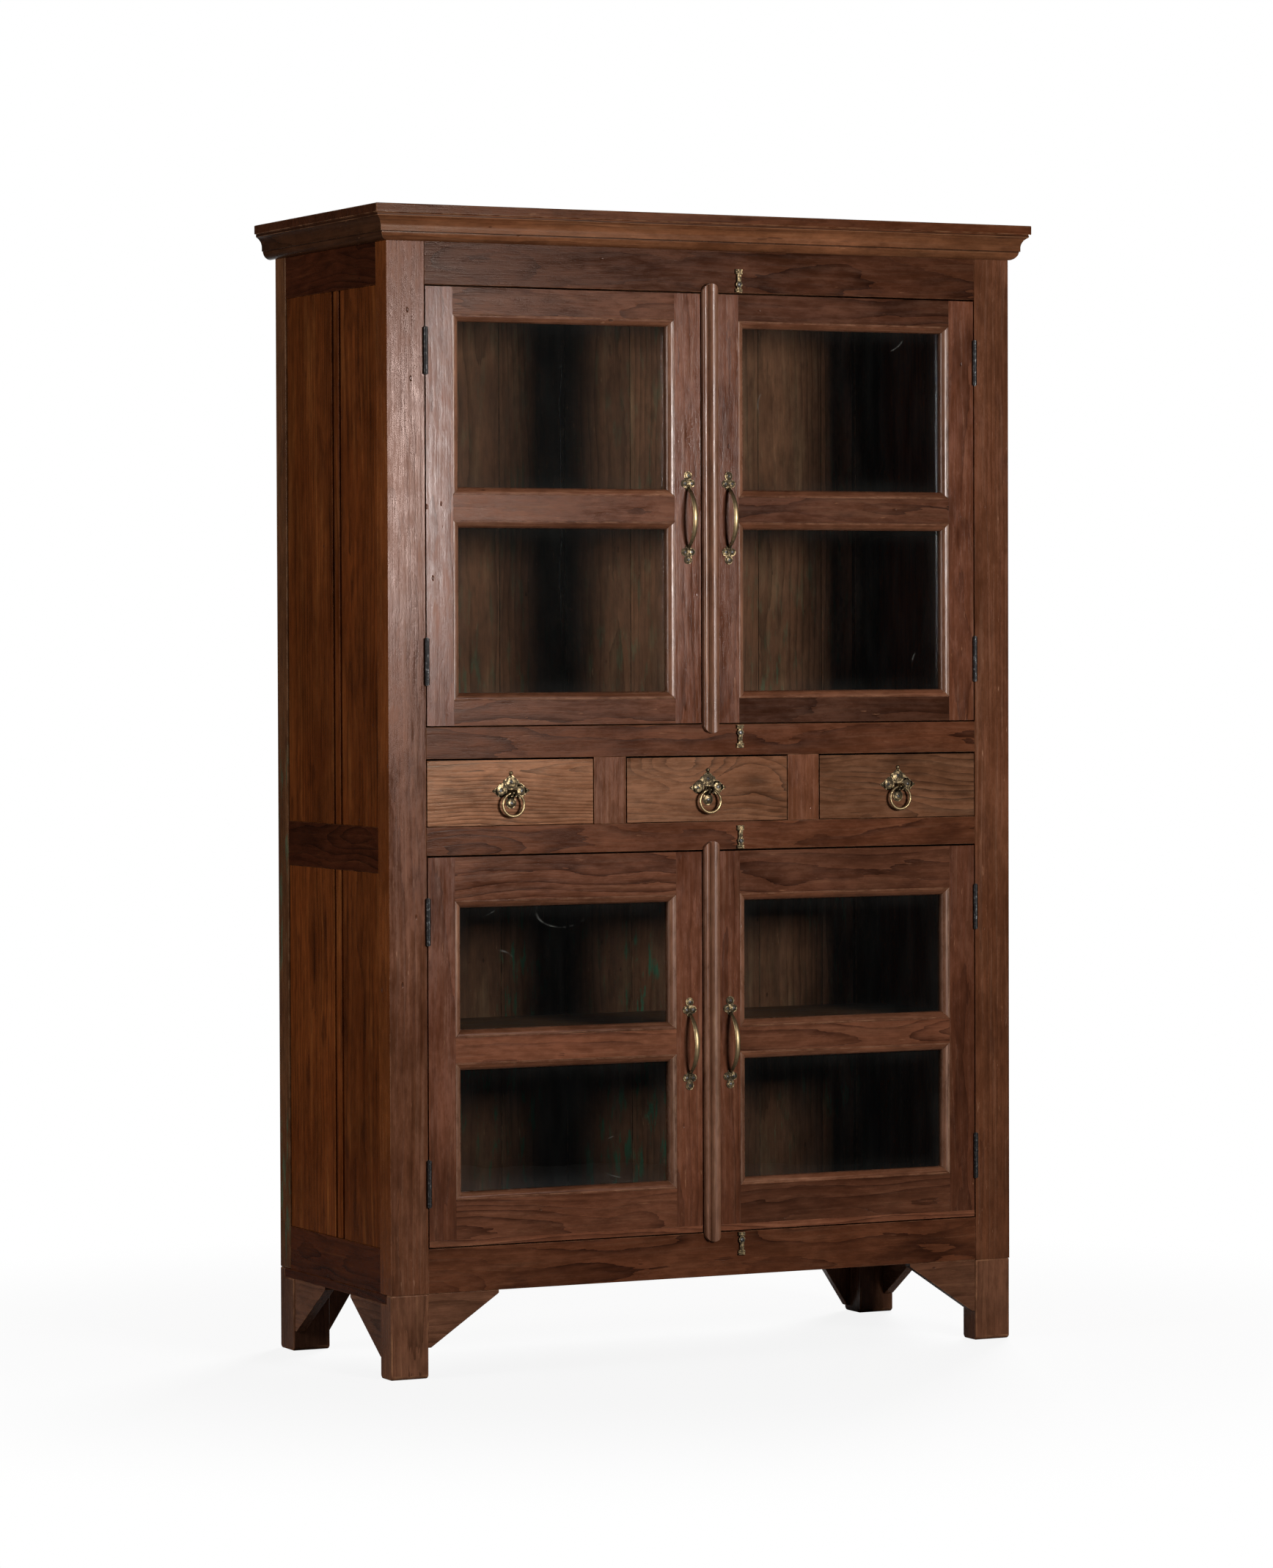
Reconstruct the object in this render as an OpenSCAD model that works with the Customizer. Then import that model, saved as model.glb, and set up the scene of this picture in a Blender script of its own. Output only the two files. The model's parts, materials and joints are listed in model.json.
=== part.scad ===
// Glazed display cabinet: two tiers of paired glass doors with three drawers between them.
// Millimetres, Z up, origin on the floor under the middle of the case, front toward -Y.

/* [Case] */
// Width over the corner posts
case_w = 1063; // [940:1:1250]
// Depth over the corner posts
case_d = 434; // [380:1:520]
// Width of a corner post, seen from the front
post_w = 61; // [50:1:75]
// Depth of a corner post, seen from the side
post_d = 41; // [36:1:50]
// Thickness of the front and side rails
rail_t = 28; // [20:1:32]
// Thickness of the back rails
back_rail_t = 20; // [14:1:24]
// Length of the tenons on all rails
tenon_l = 20; // [12:1:24]
// Thickness of the tenons
tenon_t = 10; // [6:1:14]
// Shoulder above and below a tenon
tenon_shoulder = 8; // [4:1:12]
// Open line left between members that meet end to face
joint_line = 0.1; // [0.05:0.05:0.3]
// Set-back of the side rails from the face of the posts
side_rail_inset = 1; // [0.5:0.5:3]

/* [Heights] */
// Height of the foot blocks under the posts
foot_h = 127; // [110:1:150]
// Height of the bottom rail
bottom_rail_h = 67; // [50:1:80]
// Height of the lower doorway
lower_open_h = 588; // [520:1:640]
// Height of the rail between the lower doors and the drawers
lower_rail_h = 43; // [34:1:52]
// Height of the drawer openings
drawer_open_h = 101.5; // [92:0.5:125]
// Height of the rail between the drawers and the upper doors
upper_rail_h = 47.5; // [44:0.5:56]
// Height of the upper doorway
upper_open_h = 659.5; // [600:0.5:720]
// Height of the plain top rail that shows under the cornice
frieze_h = 63.5; // [50:0.5:80]
// Height of the rails halfway up the sides and back
side_mid_h = 69; // [50:1:80]

/* [Cornice] */
// Height of the moulding under the top board
moulding_h = 39; // [37:1:44]
// Thickness of the top board
top_t = 14; // [10:1:20]
// Overhang of the top board at the front and the sides
top_lap = 27.5; // [25:0.5:34]
// Overhang of the top board at the back
top_lap_back = 18; // [0:1:24]
// Radius of the bead at the foot of the moulding
ovolo_r = 13; // [9:0.5:14]
// Projection of the flat between bead and cove
moulding_flat = 14.8; // [14.2:0.1:16]
// Height of that flat
moulding_flat_h = 6; // [3:0.5:8]
// Radius of the cove
cove_r = 18; // [17:0.5:20]
// Height of the square fillet over the cove
fillet_h = 4; // [2:0.5:5]
// Projection of the fillet
fillet_out = 24.5; // [23:0.1:25]

/* [Boards] */
// Thickness of the side boards
side_t = 14; // [10:1:18]
// Set-back of the side boards from the face of the posts
side_recess = 3; // [1:0.5:6]
// Width of the front board in each side
side_front_board = 141; // [110:1:180]
// Width of the groove between the two boards of a side
board_groove_w = 13; // [8:0.5:18]
// Depth of that groove
board_groove_d = 6; // [3:0.5:8]
// Width of the bead on the edge of the rear side board
board_bead_w = 20; // [12:0.5:26]
// Rise of that bead over its own edges
board_bead_rise = 2.5; // [1:0.5:4]
// Width of the quirk behind that bead
board_quirk_w = 1.6; // [1:0.1:3]
// Thickness of the back planks
plank_t = 12; // [9:1:16]
// Width of the back planks
plank_w = 115.5; // [90:0.5:160]
// Width of the back plank beside the left post
first_plank_w = 75; // [45:0.5:90]
// Gap between back planks
plank_gap = 0.8; // [0.4:0.1:2]
// Thickness of the floors inside the case
floor_t = 15; // [12:1:20]
// Thickness of the shelves
shelf_t = 20; // [15:1:25]
// Height of the lower shelf's top over the lower doorway's sill
lower_shelf_up = 313; // [240:1:380]
// Height of the upper shelf's top over the upper doorway's sill
upper_shelf_up = 338; // [260:1:400]
// Width of a shelf bearer
bearer_w = 18; // [12:1:26]
// Height of a shelf bearer
bearer_h = 22; // [15:1:30]

/* [Feet] */
// Depth of a rear foot block
rear_foot_d = 54; // [50:1:64]
// Chamfer worn round the bottom of the feet
foot_wear = 4; // [1:0.5:8]
// Height of the batten let in across the feet at each side
batten_h = 14; // [10:1:18]
// Thickness of that batten
batten_t = 10; // [6:1:14]
// Distance of the batten's ends from the front and back of the case
batten_inset = 19; // [10:1:30]
// Thickness of the corner brackets
bracket_t = 16; // [10:1:22]
// Run of a front bracket along the bottom rail
front_bracket_run = 117; // [80:1:150]
// Drop of a front bracket down its foot
front_bracket_drop = 81; // [60:1:110]
// Run of a side bracket
side_bracket_run = 120; // [80:1:140]
// Drop of a side bracket
side_bracket_drop = 82; // [60:1:100]
// Run of a rear bracket
rear_bracket_run = 78; // [50:1:120]
// Drop of a rear bracket
rear_bracket_drop = 118; // [60:1:122]
// Blunt edge left at the thin ends of a bracket
bracket_blunt = 5; // [2:0.5:12]
// Set-back of the brackets from the face of the case
bracket_inset = 2; // [0.5:0.5:6]

/* [Doors] */
// Thickness of the door leaves
leaf_t = 22; // [18:1:28]
// Gap on the hinge side of a leaf
hinge_gap = 2; // [1.5:0.1:3]
// Gap between the two leaves of a pair
meeting_gap = 2; // [1:0.1:3]
// Gap under a leaf
leaf_gap_bottom = 2; // [1:0.1:4]
// Gap over a leaf
leaf_gap_top = 2.5; // [1:0.1:4]
// Width of a stile
stile_w = 44; // [36:0.5:54]
// Width of the right leaf's meeting stile beside its astragal
meeting_show = 35.5; // [30:0.5:44]
// Height of the bottom rail of an upper leaf
upper_leaf_bottom = 37.5; // [30:0.5:60]
// Height of the top rail of an upper leaf
upper_leaf_top = 40; // [30:0.5:60]
// Height of the bottom rail of a lower leaf, with its lipping
lower_leaf_bottom = 69; // [40:0.5:90]
// Height of the top rail of a lower leaf
lower_leaf_top = 65; // [40:0.5:90]
// Height of the middle rail of a leaf
leaf_mid = 38; // [30:0.5:60]
// Height of the lipping under a lower leaf
lipping_h = 10; // [6:0.5:16]
// Length of the tenons of a leaf's rails
leaf_tenon_l = 26; // [16:1:30]
// Thickness of those tenons
leaf_tenon_t = 7; // [5:0.5:8]
// Width of the rebate lip behind the glass
rebate_w = 8; // [5:0.5:12]
// Thickness of the rebate lip
rebate_t = 6; // [4:0.5:8]
// Thickness of the glass
glass_t = 3; // [2:0.5:4]
// Clearance round the edge of a pane
glass_fit = 0.5; // [0.3:0.1:2]
// Width of the glazing bead
bead_w = 11.5; // [9:0.5:15]
// Width of the flat along the outer edge of the glazing bead
bead_flat = 2; // [1:0.5:4]
// Depth of the step between that flat and the round of the bead
bead_step = 1; // [0.5:0.1:2]
// Clearance between the glazing beads and their frame
bead_fit = 0.1; // [0.05:0.05:0.3]

/* [Astragals] */
// Width of the astragal on a right leaf
astragal_w = 28; // [22:0.5:36]
// Reach of the astragal past the middle of the doorway
astragal_reach = 8.5; // [4:0.5:12]
// Height of the astragal over the face of the leaf
astragal_t = 9; // [6:0.5:12]
// Overlap of the astragal on the rails above and below
astragal_lap = 13; // [8:0.5:18]
// Thickness of the astragal along its edges
astragal_edge = 2; // [1:0.5:4]
// Width of the narrow reed
reed_w = 9.5; // [6:0.5:12]
// Drop of the reed below the top of the broad roll
reed_drop = 1; // [0:0.5:2]
// Relief between the astragal's ends and the rails
astragal_relief = 0.4; // [0.3:0.1:1]

/* [Hinges] */
// Height of a butt hinge
hinge_h = 70; // [50:1:90]
// Distance from a hinge to the end of its leaf
hinge_inset = 61; // [40:1:90]
// Width of a hinge plate
plate_d = 19; // [14:0.5:22]
// Thickness of a hinge plate
plate_t = 1.9; // [1.2:0.1:2.4]
// Gap between the two plates of a closed hinge
plate_gap = 0.2; // [0.1:0.1:0.6]
// Radius of a knuckle
knuckle_r = 3.3; // [2.6:0.1:4]
// Gap between the knuckles and the face of the wood
knuckle_clear = 0.3; // [0.3:0.1:1]
// Number of knuckles
knuckle_count = 5; // [3:2:7]
// Gap between knuckles
knuckle_gap = 0.4; // [0.2:0.1:1]
// Radius of a hinge pin
pin_r = 1.6; // [1.2:0.1:2]
// Radial clearance of the pin in the fixed knuckles
pin_fit_fixed = 0.02; // [0.01:0.01:0.05]
// Radial clearance of the pin in the moving knuckles
pin_fit_moving = 0.06; // [0.04:0.01:0.1]
// Clearance round a hinge plate let into the wood
let_in = 0.1; // [0:0.05:0.3]

/* [Door handles] */
// Overall height of a door handle
handle_h = 142; // [110:1:170]
// Reach of the bow from the face of the door
handle_reach = 29; // [22:0.5:36]
// Width of the bow at its middle
bow_w = 8; // [6:0.5:11]
// Width of the bow at its ends
bow_end_w = 5; // [3.5:0.5:6]
// Thickness of the bow at its middle
bow_t = 4; // [3:0.5:6]
// Thickness of the bow at its ends
bow_end_t = 3.2; // [2.2:0.1:5]
// Distance of the bow's ends from the foot of the trefoil plates
bow_seat = 6; // [4:0.5:9]
// Height of a trefoil plate
trefoil_h = 30; // [24:1:36]
// Radius of the lobes of a trefoil plate
trefoil_r = 6.2; // [5:0.1:7]
// Radius of the round foot of a trefoil plate
trefoil_foot_r = 5; // [3:0.5:6]
// Growth of the long lobe over the side lobes
trefoil_swell = 0.6; // [0:0.1:1.5]
// Thickness of a trefoil plate
trefoil_t = 2.5; // [1.5:0.5:4]
// Drop of the upper handles below the middle of their leaves
upper_handle_drop = 14; // [0:1:60]
// Drop of the lower handles below the middle of their leaves
lower_handle_drop = 2; // [0:1:60]

/* [Drawers] */
// Width of the uprights between drawers
divider_w = 54.25; // [40:0.25:70]
// Gap on each side of a drawer front
drawer_side_gap = 1.6; // [0.8:0.1:3]
// Gap under a drawer front
drawer_under_gap = 1; // [0.6:0.1:2]
// Gap over a drawer front
drawer_over_gap = 2.5; // [1:0.1:4]
// Thickness of a drawer front
drawer_front_t = 20; // [16:1:24]
// Room left between a drawer box and the back planks
drawer_back_room = 27; // [12:1:80]
// Thickness of the drawer sides and back
drawer_wall = 10; // [8:1:14]
// Height of the drawer sides
drawer_side_h = 88; // [70:1:90]
// Thickness of the drawer bottom
drawer_bottom_t = 5; // [4:0.5:8]
// Height of the drawer bottom over the lower edge of the sides
drawer_bottom_up = 7; // [4:0.5:12]
// Depth of the groove that holds the drawer bottom
groove_d = 4; // [2:0.5:6]
// Clearance of the drawer bottom in its grooves
groove_fit = 0.2; // [0.1:0.1:0.5]
// Running clearance under the drawer sides
drawer_run = 0.3; // [0.3:0.1:0.6]
// Number of dovetails at each corner of a drawer front
tail_count = 3; // [2:1:5]
// Length of the dovetails
tail_l = 13; // [8:1:15]
// Width of a dovetail at its tip
tail_w = 19; // [12:0.5:20]
// Taper of a dovetail on each side
tail_taper = 2.2; // [1:0.1:3]
// Clearance of the dovetails in their sockets
tail_fit = 0.1; // [0.05:0.05:0.2]
// Height of the guides between the drawers
guide_h = 20; // [14:1:30]

/* [Ring pulls] */
// Outer radius of the ring
ring_r = 19.3; // [15:0.1:22]
// Radius of the ring's wire
ring_wire_r = 1.9; // [1.4:0.1:2.2]
// Distance from the drawer's face to the middle of the ring's wire
ring_out = 9.5; // [9:0.5:13]
// Thickness of the back plate
pull_t = 2; // [1.5:0.5:3]
// Radius of the top lobe
pull_top_r = 13.4; // [11:0.1:15]
// Height of the top lobe's middle over the side lobes
pull_top_up = 10.5; // [8:0.5:14]
// Radius of the side lobes
pull_side_r = 11.8; // [9:0.1:13]
// Distance of the side lobes from the middle
pull_side_out = 16.5; // [13:0.5:19]
// Reach of the points of the side lobes
pull_point_out = 31.2; // [29:0.1:34]
// Width of those points at their root
pull_point_w = 13; // [8:0.5:16]
// Distance of that root from the middle of its lobe
pull_point_root = 8; // [6:0.5:9]
// Width of the neck under the knob
pull_neck_w = 3.2; // [2:0.1:5]
// Width of the plate between its lobes and the disc
pull_waist_w = 10; // [7:0.5:14]
// Radius of the bottom disc
pull_disc_r = 8.8; // [6:0.1:11]
// Drop of the bottom disc below the side lobes
pull_disc_down = 18; // [15:0.5:21]
// Radius of the knob at the top of the plate
pull_knob_r = 3; // [2:0.1:4]
// Height of that knob over the side lobes
pull_knob_up = 26.8; // [24:0.1:30]
// Height of the side lobes over the middle of the drawer opening
pull_up = 1.75; // [-10:0.25:10]
// Drop of the ring's pivot below the side lobes
pivot_down = 3.5; // [0:0.5:6]
// Inner distance of a claw from the middle
claw_in = 2; // [1:0.1:3]
// Width of a claw
claw_w = 2.5; // [2:0.1:3.5]
// Wall of a claw round the ring
claw_wall = 1.7; // [1.2:0.1:2.4]
// Clearance of the ring in its claws
claw_fit = 0.15; // [0.1:0.05:0.3]
// Share of a claw's radius that its shank keeps below the bore's middle
claw_chin = 0.6; // [0.3:0.05:0.8]

/* [Turn buttons] */
// Length of a turn button
button_l = 35.5; // [28:0.5:44]
// Width of a turn button
button_w = 11.5; // [9:0.5:14]
// Distance from the screw to the short end
button_short = 12; // [9:0.5:14]
// Thickness of a turn button
button_t = 4.5; // [3:0.5:6]
// Width of the button's waist
button_waist = 7; // [5:0.5:9]
// Height of the widened long end
button_long_end_h = 6.5; // [4:0.5:9]
// Height of the widened short end
button_short_end_h = 5.5; // [3:0.5:7]
// Width left bare round the boss of the screw
button_boss_inset = 0.6; // [0:0.1:2]
// Height of the rib across each end
button_rib_h = 2.4; // [1.5:0.1:3]
// Rise of that rib over the button
button_rib_up = 0.8; // [0.4:0.1:1.5]
// Distance of that rib's middle from the end of the button
button_rib_in = 3.6; // [2:0.1:4]
// Gap between a button and the wood behind it
button_gap = 0.4; // [0.3:0.1:0.8]
// Gap between the short end and the edge of the leaf
button_edge_gap = 1; // [0.8:0.1:3]
// Distance of the buttons from the middle of the case
button_x = 55; // [45:1:70]
// Radius of a button's screw
screw_r = 1.8; // [1.4:0.1:2.4]
// Radius of a button's screw head
screw_head_r = 3.6; // [3:0.1:5]
// Height of that head
screw_head_h = 1.6; // [1:0.1:2.4]
// Width of the slot in that head
screw_slot_w = 0.8; // [0.5:0.1:1.2]
// Running clearance of a button on its screw
screw_fit = 0.08; // [0.05:0.01:0.1]

/* [Colours] */
// Waxed hardwood of the case
wood = "#6f4530";
// Darker hardwood of the rails and feet
dark_wood = "#5c3527";
// Paler hardwood of drawer fronts and glazing beads
pale_wood = "#8a6246";
// Plain wood inside the case
inner_wood = "#6a5646";
// Old window glass
glass_tint = [0.75, 0.82, 0.78, 0.35];
// Aged brass of the pulls, handles and buttons
brass = "#a8854a";
// Dark iron of the hinges
iron = "#4a4a4c";
// Steel of the screws
steel = "#9a9a98";

/* [Hidden] */
$fn = 48;
// Clearance round a tenon or a panel in the member that holds it
joint_fit = 0.15;
// Length that a hinge pin stands out past its knuckles
pin_crown = 1;
// Share of its arc that a handle's bow covers
bow_arc_share = 0.985;
// Exponent of the bow's swell, smaller for a fuller middle
bow_fullness = 0.7;
// Share of a screw head's radius that is left on its top
screw_head_taper = 0.7;
// Share of a screw head's height that its slot leaves whole
screw_slot_floor = 0.5;
// Extra length that takes a cut right through
cut_over = 1;
// Overlap of two cuts that share a face
eps = 0.01;

tiers = ["lower", "upper"];
hands = ["left", "right"];
bays = ["left", "middle", "right"];
button_rows = ["lower_bottom", "lower_top", "upper_bottom", "upper_top"];
door_parts = ["frame", "beads", "glass", "handle", "hinges"];
drawer_parts = ["front", "box", "pull", "ring"];

case_nodes = ["post_front_left", "post_front_right", "post_rear_left", "post_rear_right",
    "foot_blocks", "corner_brackets", "front_rails", "drawer_dividers",
    "side_rails_left", "side_rails_right", "side_boards_left", "side_boards_right",
    "back_rails", "back_planks", "top_board", "cornice", "floor_boards", "shelves",
    "shelf_bearers", "drawer_runners", "hinge_plates", "hinge_pins"];

// Planes and levels that everything else is set out from
front = -case_d / 2;
back = case_d / 2;
open_w = case_w - 2 * post_w;
lower_sill = foot_h + bottom_rail_h;
lower_head = lower_sill + lower_open_h;
drawer_sill = lower_head + lower_rail_h;
drawer_head = drawer_sill + drawer_open_h;
upper_sill = drawer_head + upper_rail_h;
upper_head = upper_sill + upper_open_h;
cornice_foot = upper_head + frieze_h;
case_top = cornice_foot + moulding_h;
plank_face = back - back_rail_t - plank_t;
batten_top = foot_h;
bracket_top = batten_top - batten_h;
inner_half_w = case_w / 2 - side_recess - side_t;
drawer_w = (open_w - 2 * divider_w) / len(bays);
drawer_l = plank_face - drawer_back_room - front - drawer_front_t;

front_rail_spans = [[foot_h, lower_sill], [lower_head, drawer_sill],
    [drawer_head, upper_sill], [upper_head, case_top]];
side_rail_spans = [[foot_h, lower_sill], [drawer_sill - side_mid_h, drawer_sill],
    [upper_head, case_top]];
side_board_spans = [[lower_sill, drawer_sill - side_mid_h], [drawer_sill, upper_head]];

// Door leaves: hand 0 is the left one and 1 the right, tier 0 the lower pair and 1 the upper
meeting_x = -astragal_reach;
function leaf_x(hand) = hand == 0
    ? [-open_w / 2 + hinge_gap, meeting_x - meeting_gap]
    : [meeting_x, open_w / 2 - hinge_gap];
function leaf_z(tier) = tier == 0
    ? [lower_sill + leaf_gap_bottom, lower_head - leaf_gap_top]
    : [upper_sill + leaf_gap_bottom, upper_head - leaf_gap_top];
function stiles(hand) = hand == 0 ? [stile_w, stile_w] : [astragal_w + meeting_show, stile_w];
function bottom_rail(tier) = tier == 0 ? lower_leaf_bottom : upper_leaf_bottom;
function top_rail(tier) = tier == 0 ? lower_leaf_top : upper_leaf_top;
function lipping(tier) = tier == 0 ? lipping_h : 0;
function pane_x(hand) = let (x = leaf_x(hand), s = stiles(hand)) [x[0] + s[0], x[1] - s[1]];
function pane_z(tier) = let (
    z = leaf_z(tier),
    lo = z[0] + bottom_rail(tier),
    hi = z[1] - top_rail(tier),
    mid = (lo + hi) / 2)
    [[lo, mid - leaf_mid / 2], [mid + leaf_mid / 2, hi]];
function hinge_z(tier) = let (z = leaf_z(tier)) [z[0] + hinge_inset, z[1] - hinge_inset - hinge_h];
function handle_z(tier) = let (z = leaf_z(tier))
    (z[0] + z[1]) / 2 - (tier == 0 ? lower_handle_drop : upper_handle_drop);
function handle_x(hand) = let (x = leaf_x(hand))
    hand == 0 ? x[1] - stile_w / 2 : x[0] + astragal_w + meeting_show / 2;
rebate_face = front + leaf_t - rebate_t;
glass_face = rebate_face - glass_t;

// Hinges, set out from the axis of the pin
pin_out = knuckle_r + knuckle_clear;
pin_x = open_w / 2 - hinge_gap / 2;
knuckle_h = hinge_h / knuckle_count;

// Drawers: bay 0 is the left one
function bay_x(bay) = -open_w / 2 + bay * (drawer_w + divider_w);
drawer_bottom_z = drawer_sill + drawer_under_gap;
drawer_top_z = drawer_head - drawer_over_gap;
side_foot_z = drawer_sill + drawer_run;
tail_pitch = drawer_side_h / tail_count;
pull_z = drawer_sill + drawer_open_h / 2 + pull_up;
ring_mid_r = ring_r - ring_wire_r;
claw_out = claw_in + claw_w;
pivot_z = pull_z - pivot_down;
// The ring hangs a little above its pivot axis, so that its curve stays within the claws
ring_rise = (ring_mid_r - sqrt(pow(ring_mid_r, 2) - pow(claw_out, 2))) / 2;
claw_lean = asin(claw_out / ring_mid_r);
claw_bore_r = ring_rise + ring_wire_r / cos(claw_lean) + claw_fit;

// ---------------------------------------------------------------- helpers

// Box between two opposite corners
module block(low, high) translate(low) cube(high - low);

// Outline drawn as seen from the front, made solid from y towards +Y
module from_front(y, depth) translate([0, y + depth, 0]) rotate([90, 0, 0]) linear_extrude(depth) children();

// Outline drawn in Y and Z, made solid from x towards +X
module from_side(x, width) translate([x, 0, 0]) rotate([90, 0, 90]) linear_extrude(width) children();

module mirrored_if(on) if (on) mirror([1, 0, 0]) children(); else children();

module both_sides() {
    children();
    mirror([1, 0, 0]) children();
}

// Rail along X with a tenon at each end
module rail_x(y, depth, span) {
    block([-open_w / 2, y, span[0]], [open_w / 2, y + depth, span[1]]);
    tenons_x(y, depth, span, 0);
}

module tenons_x(y, depth, span, grow) {
    mid = y + depth / 2;
    block([-open_w / 2 - tenon_l - grow, mid - tenon_t / 2 - grow, span[0] + tenon_shoulder - grow],
        [open_w / 2 + tenon_l + grow, mid + tenon_t / 2 + grow, span[1] - tenon_shoulder + grow]);
}

// Rail along Y on the left side, with a tenon at each end
module rail_y(span) {
    x = -case_w / 2 + side_rail_inset;
    block([x, front + post_d, span[0]], [x + rail_t, back - post_d, span[1]]);
    tenons_y(span, 0);
}

module tenons_y(span, grow) {
    mid = -case_w / 2 + side_rail_inset + rail_t / 2;
    block([mid - tenon_t / 2 - grow, front + post_d - tenon_l - grow, span[0] + tenon_shoulder - grow],
        [mid + tenon_t / 2 + grow, back - post_d + tenon_l + grow, span[1] - tenon_shoulder + grow]);
}

// ---------------------------------------------------------------- case

module front_post() difference() {
    block([-case_w / 2, front, foot_h], [-open_w / 2, front + post_d, case_top]);
    for (span = front_rail_spans) tenons_x(front, rail_t, span, joint_fit);
    for (span = side_rail_spans) tenons_y(span, joint_fit);
    for (tier = [0, 1], z = hinge_z(tier)) translate([-pin_x, front - pin_out, z]) plate_block(let_in);
}

module rear_post() difference() {
    block([-case_w / 2, back - post_d, foot_h], [-open_w / 2, back, case_top]);
    for (span = side_rail_spans) {
        tenons_x(back - back_rail_t, back_rail_t, span, joint_fit);
        tenons_y(span, joint_fit);
    }
}

module foot_outline(depth) {
    c = foot_wear;
    polygon([[c, 0], [depth - c, 0], [depth, c], [depth, foot_h], [0, foot_h], [0, c]]);
}

module front_foot() translate([0, front, 0])
    from_side(-case_w / 2, post_w) foot_outline(post_d);

module rear_foot() translate([0, back - rear_foot_d, 0])
    from_side(-case_w / 2, post_w) foot_outline(rear_foot_d);

module batten(grow) block(
    [-case_w / 2 - grow, front + batten_inset - grow, batten_top - batten_h - grow],
    [-case_w / 2 + batten_t + grow, back - batten_inset + grow, batten_top + grow]);

module foot_blocks() color(dark_wood) both_sides() difference() {
    union() {
        front_foot();
        rear_foot();
    }
    batten(joint_fit);
}

// Triangular bracket in the corner of a foot and a rail, corner at the origin, run along +X
module bracket_outline(run, drop) {
    b = bracket_blunt;
    polygon([[0, 0], [run, 0], [run, -b], [b, -drop], [0, -drop]]);
}

module corner_brackets() color(dark_wood) both_sides() {
    translate([-open_w / 2, 0, foot_h]) from_front(front + bracket_inset, bracket_t)
        bracket_outline(front_bracket_run, front_bracket_drop);
    translate([-open_w / 2, 0, foot_h]) from_front(back - bracket_inset - bracket_t, bracket_t)
        bracket_outline(rear_bracket_run, rear_bracket_drop);
    translate([0, front + post_d, bracket_top]) from_side(-case_w / 2 + bracket_inset, bracket_t)
        bracket_outline(side_bracket_run, side_bracket_drop);
    translate([0, back - rear_foot_d, bracket_top]) from_side(-case_w / 2 + bracket_inset, bracket_t)
        mirror([1, 0]) bracket_outline(side_bracket_run, side_bracket_drop);
}

module front_rails() color(dark_wood) for (span = front_rail_spans) rail_x(front, rail_t, span);

module drawer_dividers() color(wood) for (bay = [1, 2])
    block([bay_x(bay) - divider_w, front, drawer_sill], [bay_x(bay), front + rail_t, drawer_head]);

module side_rails() {
    for (span = side_rail_spans) rail_y(span);
    batten(0);
}

// Board with a tongue, a bead and a quirk along its front edge, seen from above; its face is at x = 0
module beaded_plan(width) {
    bead_r = (pow(board_bead_w / 2, 2) + pow(board_bead_rise, 2)) / (2 * board_bead_rise);
    flat_y = board_groove_w + board_bead_w + board_quirk_w;
    translate([board_groove_d, 0]) square([side_t - board_groove_d, width]);
    intersection() {
        translate([0, board_groove_w]) square([side_t, board_bead_w]);
        translate([bead_r, board_groove_w + board_bead_w / 2]) circle(bead_r, $fn = 2 * $fn);
    }
    translate([0, flat_y]) square([side_t, width - flat_y]);
}

module side_boards() {
    x = -case_w / 2 + side_recess;
    joint_y = front + post_d + side_front_board;
    for (span = side_board_spans) {
        block([x, front + post_d, span[0]], [x + side_t, joint_y - joint_line, span[1]]);
        translate([x, joint_y, span[0]]) linear_extrude(span[1] - span[0])
            beaded_plan(back - post_d - joint_y);
    }
}

module back_rails() color(dark_wood) for (span = side_rail_spans)
    rail_x(back - back_rail_t, back_rail_t, span);

module back_planks() color(inner_wood) {
    seams = concat([0], [for (x = [first_plank_w : plank_w : open_w - plank_w / 3]) x], [open_w]);
    for (i = [0 : len(seams) - 2])
        block([-open_w / 2 + seams[i] + plank_gap / 2, plank_face, foot_h],
            [-open_w / 2 + seams[i + 1] - plank_gap / 2, back - back_rail_t, case_top]);
}

module top_board() color(wood)
    block([-case_w / 2 - top_lap, front - top_lap, case_top],
        [case_w / 2 + top_lap, back + top_lap_back, case_top + top_t]);

// Section of the cornice moulding: x is the projection from the case, y the height
module moulding_section() {
    cove_z = ovolo_r + moulding_flat_h;
    difference() {
        union() {
            intersection() {
                translate([0, ovolo_r]) circle(ovolo_r);
                square(ovolo_r);
            }
            translate([0, ovolo_r]) square([fillet_out, moulding_h - ovolo_r]);
        }
        translate([moulding_flat, ovolo_r - eps]) square([fillet_out, moulding_flat_h + eps]);
        intersection() {
            translate([moulding_flat + cove_r, cove_z]) circle(cove_r);
            translate([moulding_flat, cove_z]) square([cove_r, moulding_h - fillet_h - cove_z]);
        }
    }
}

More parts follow.
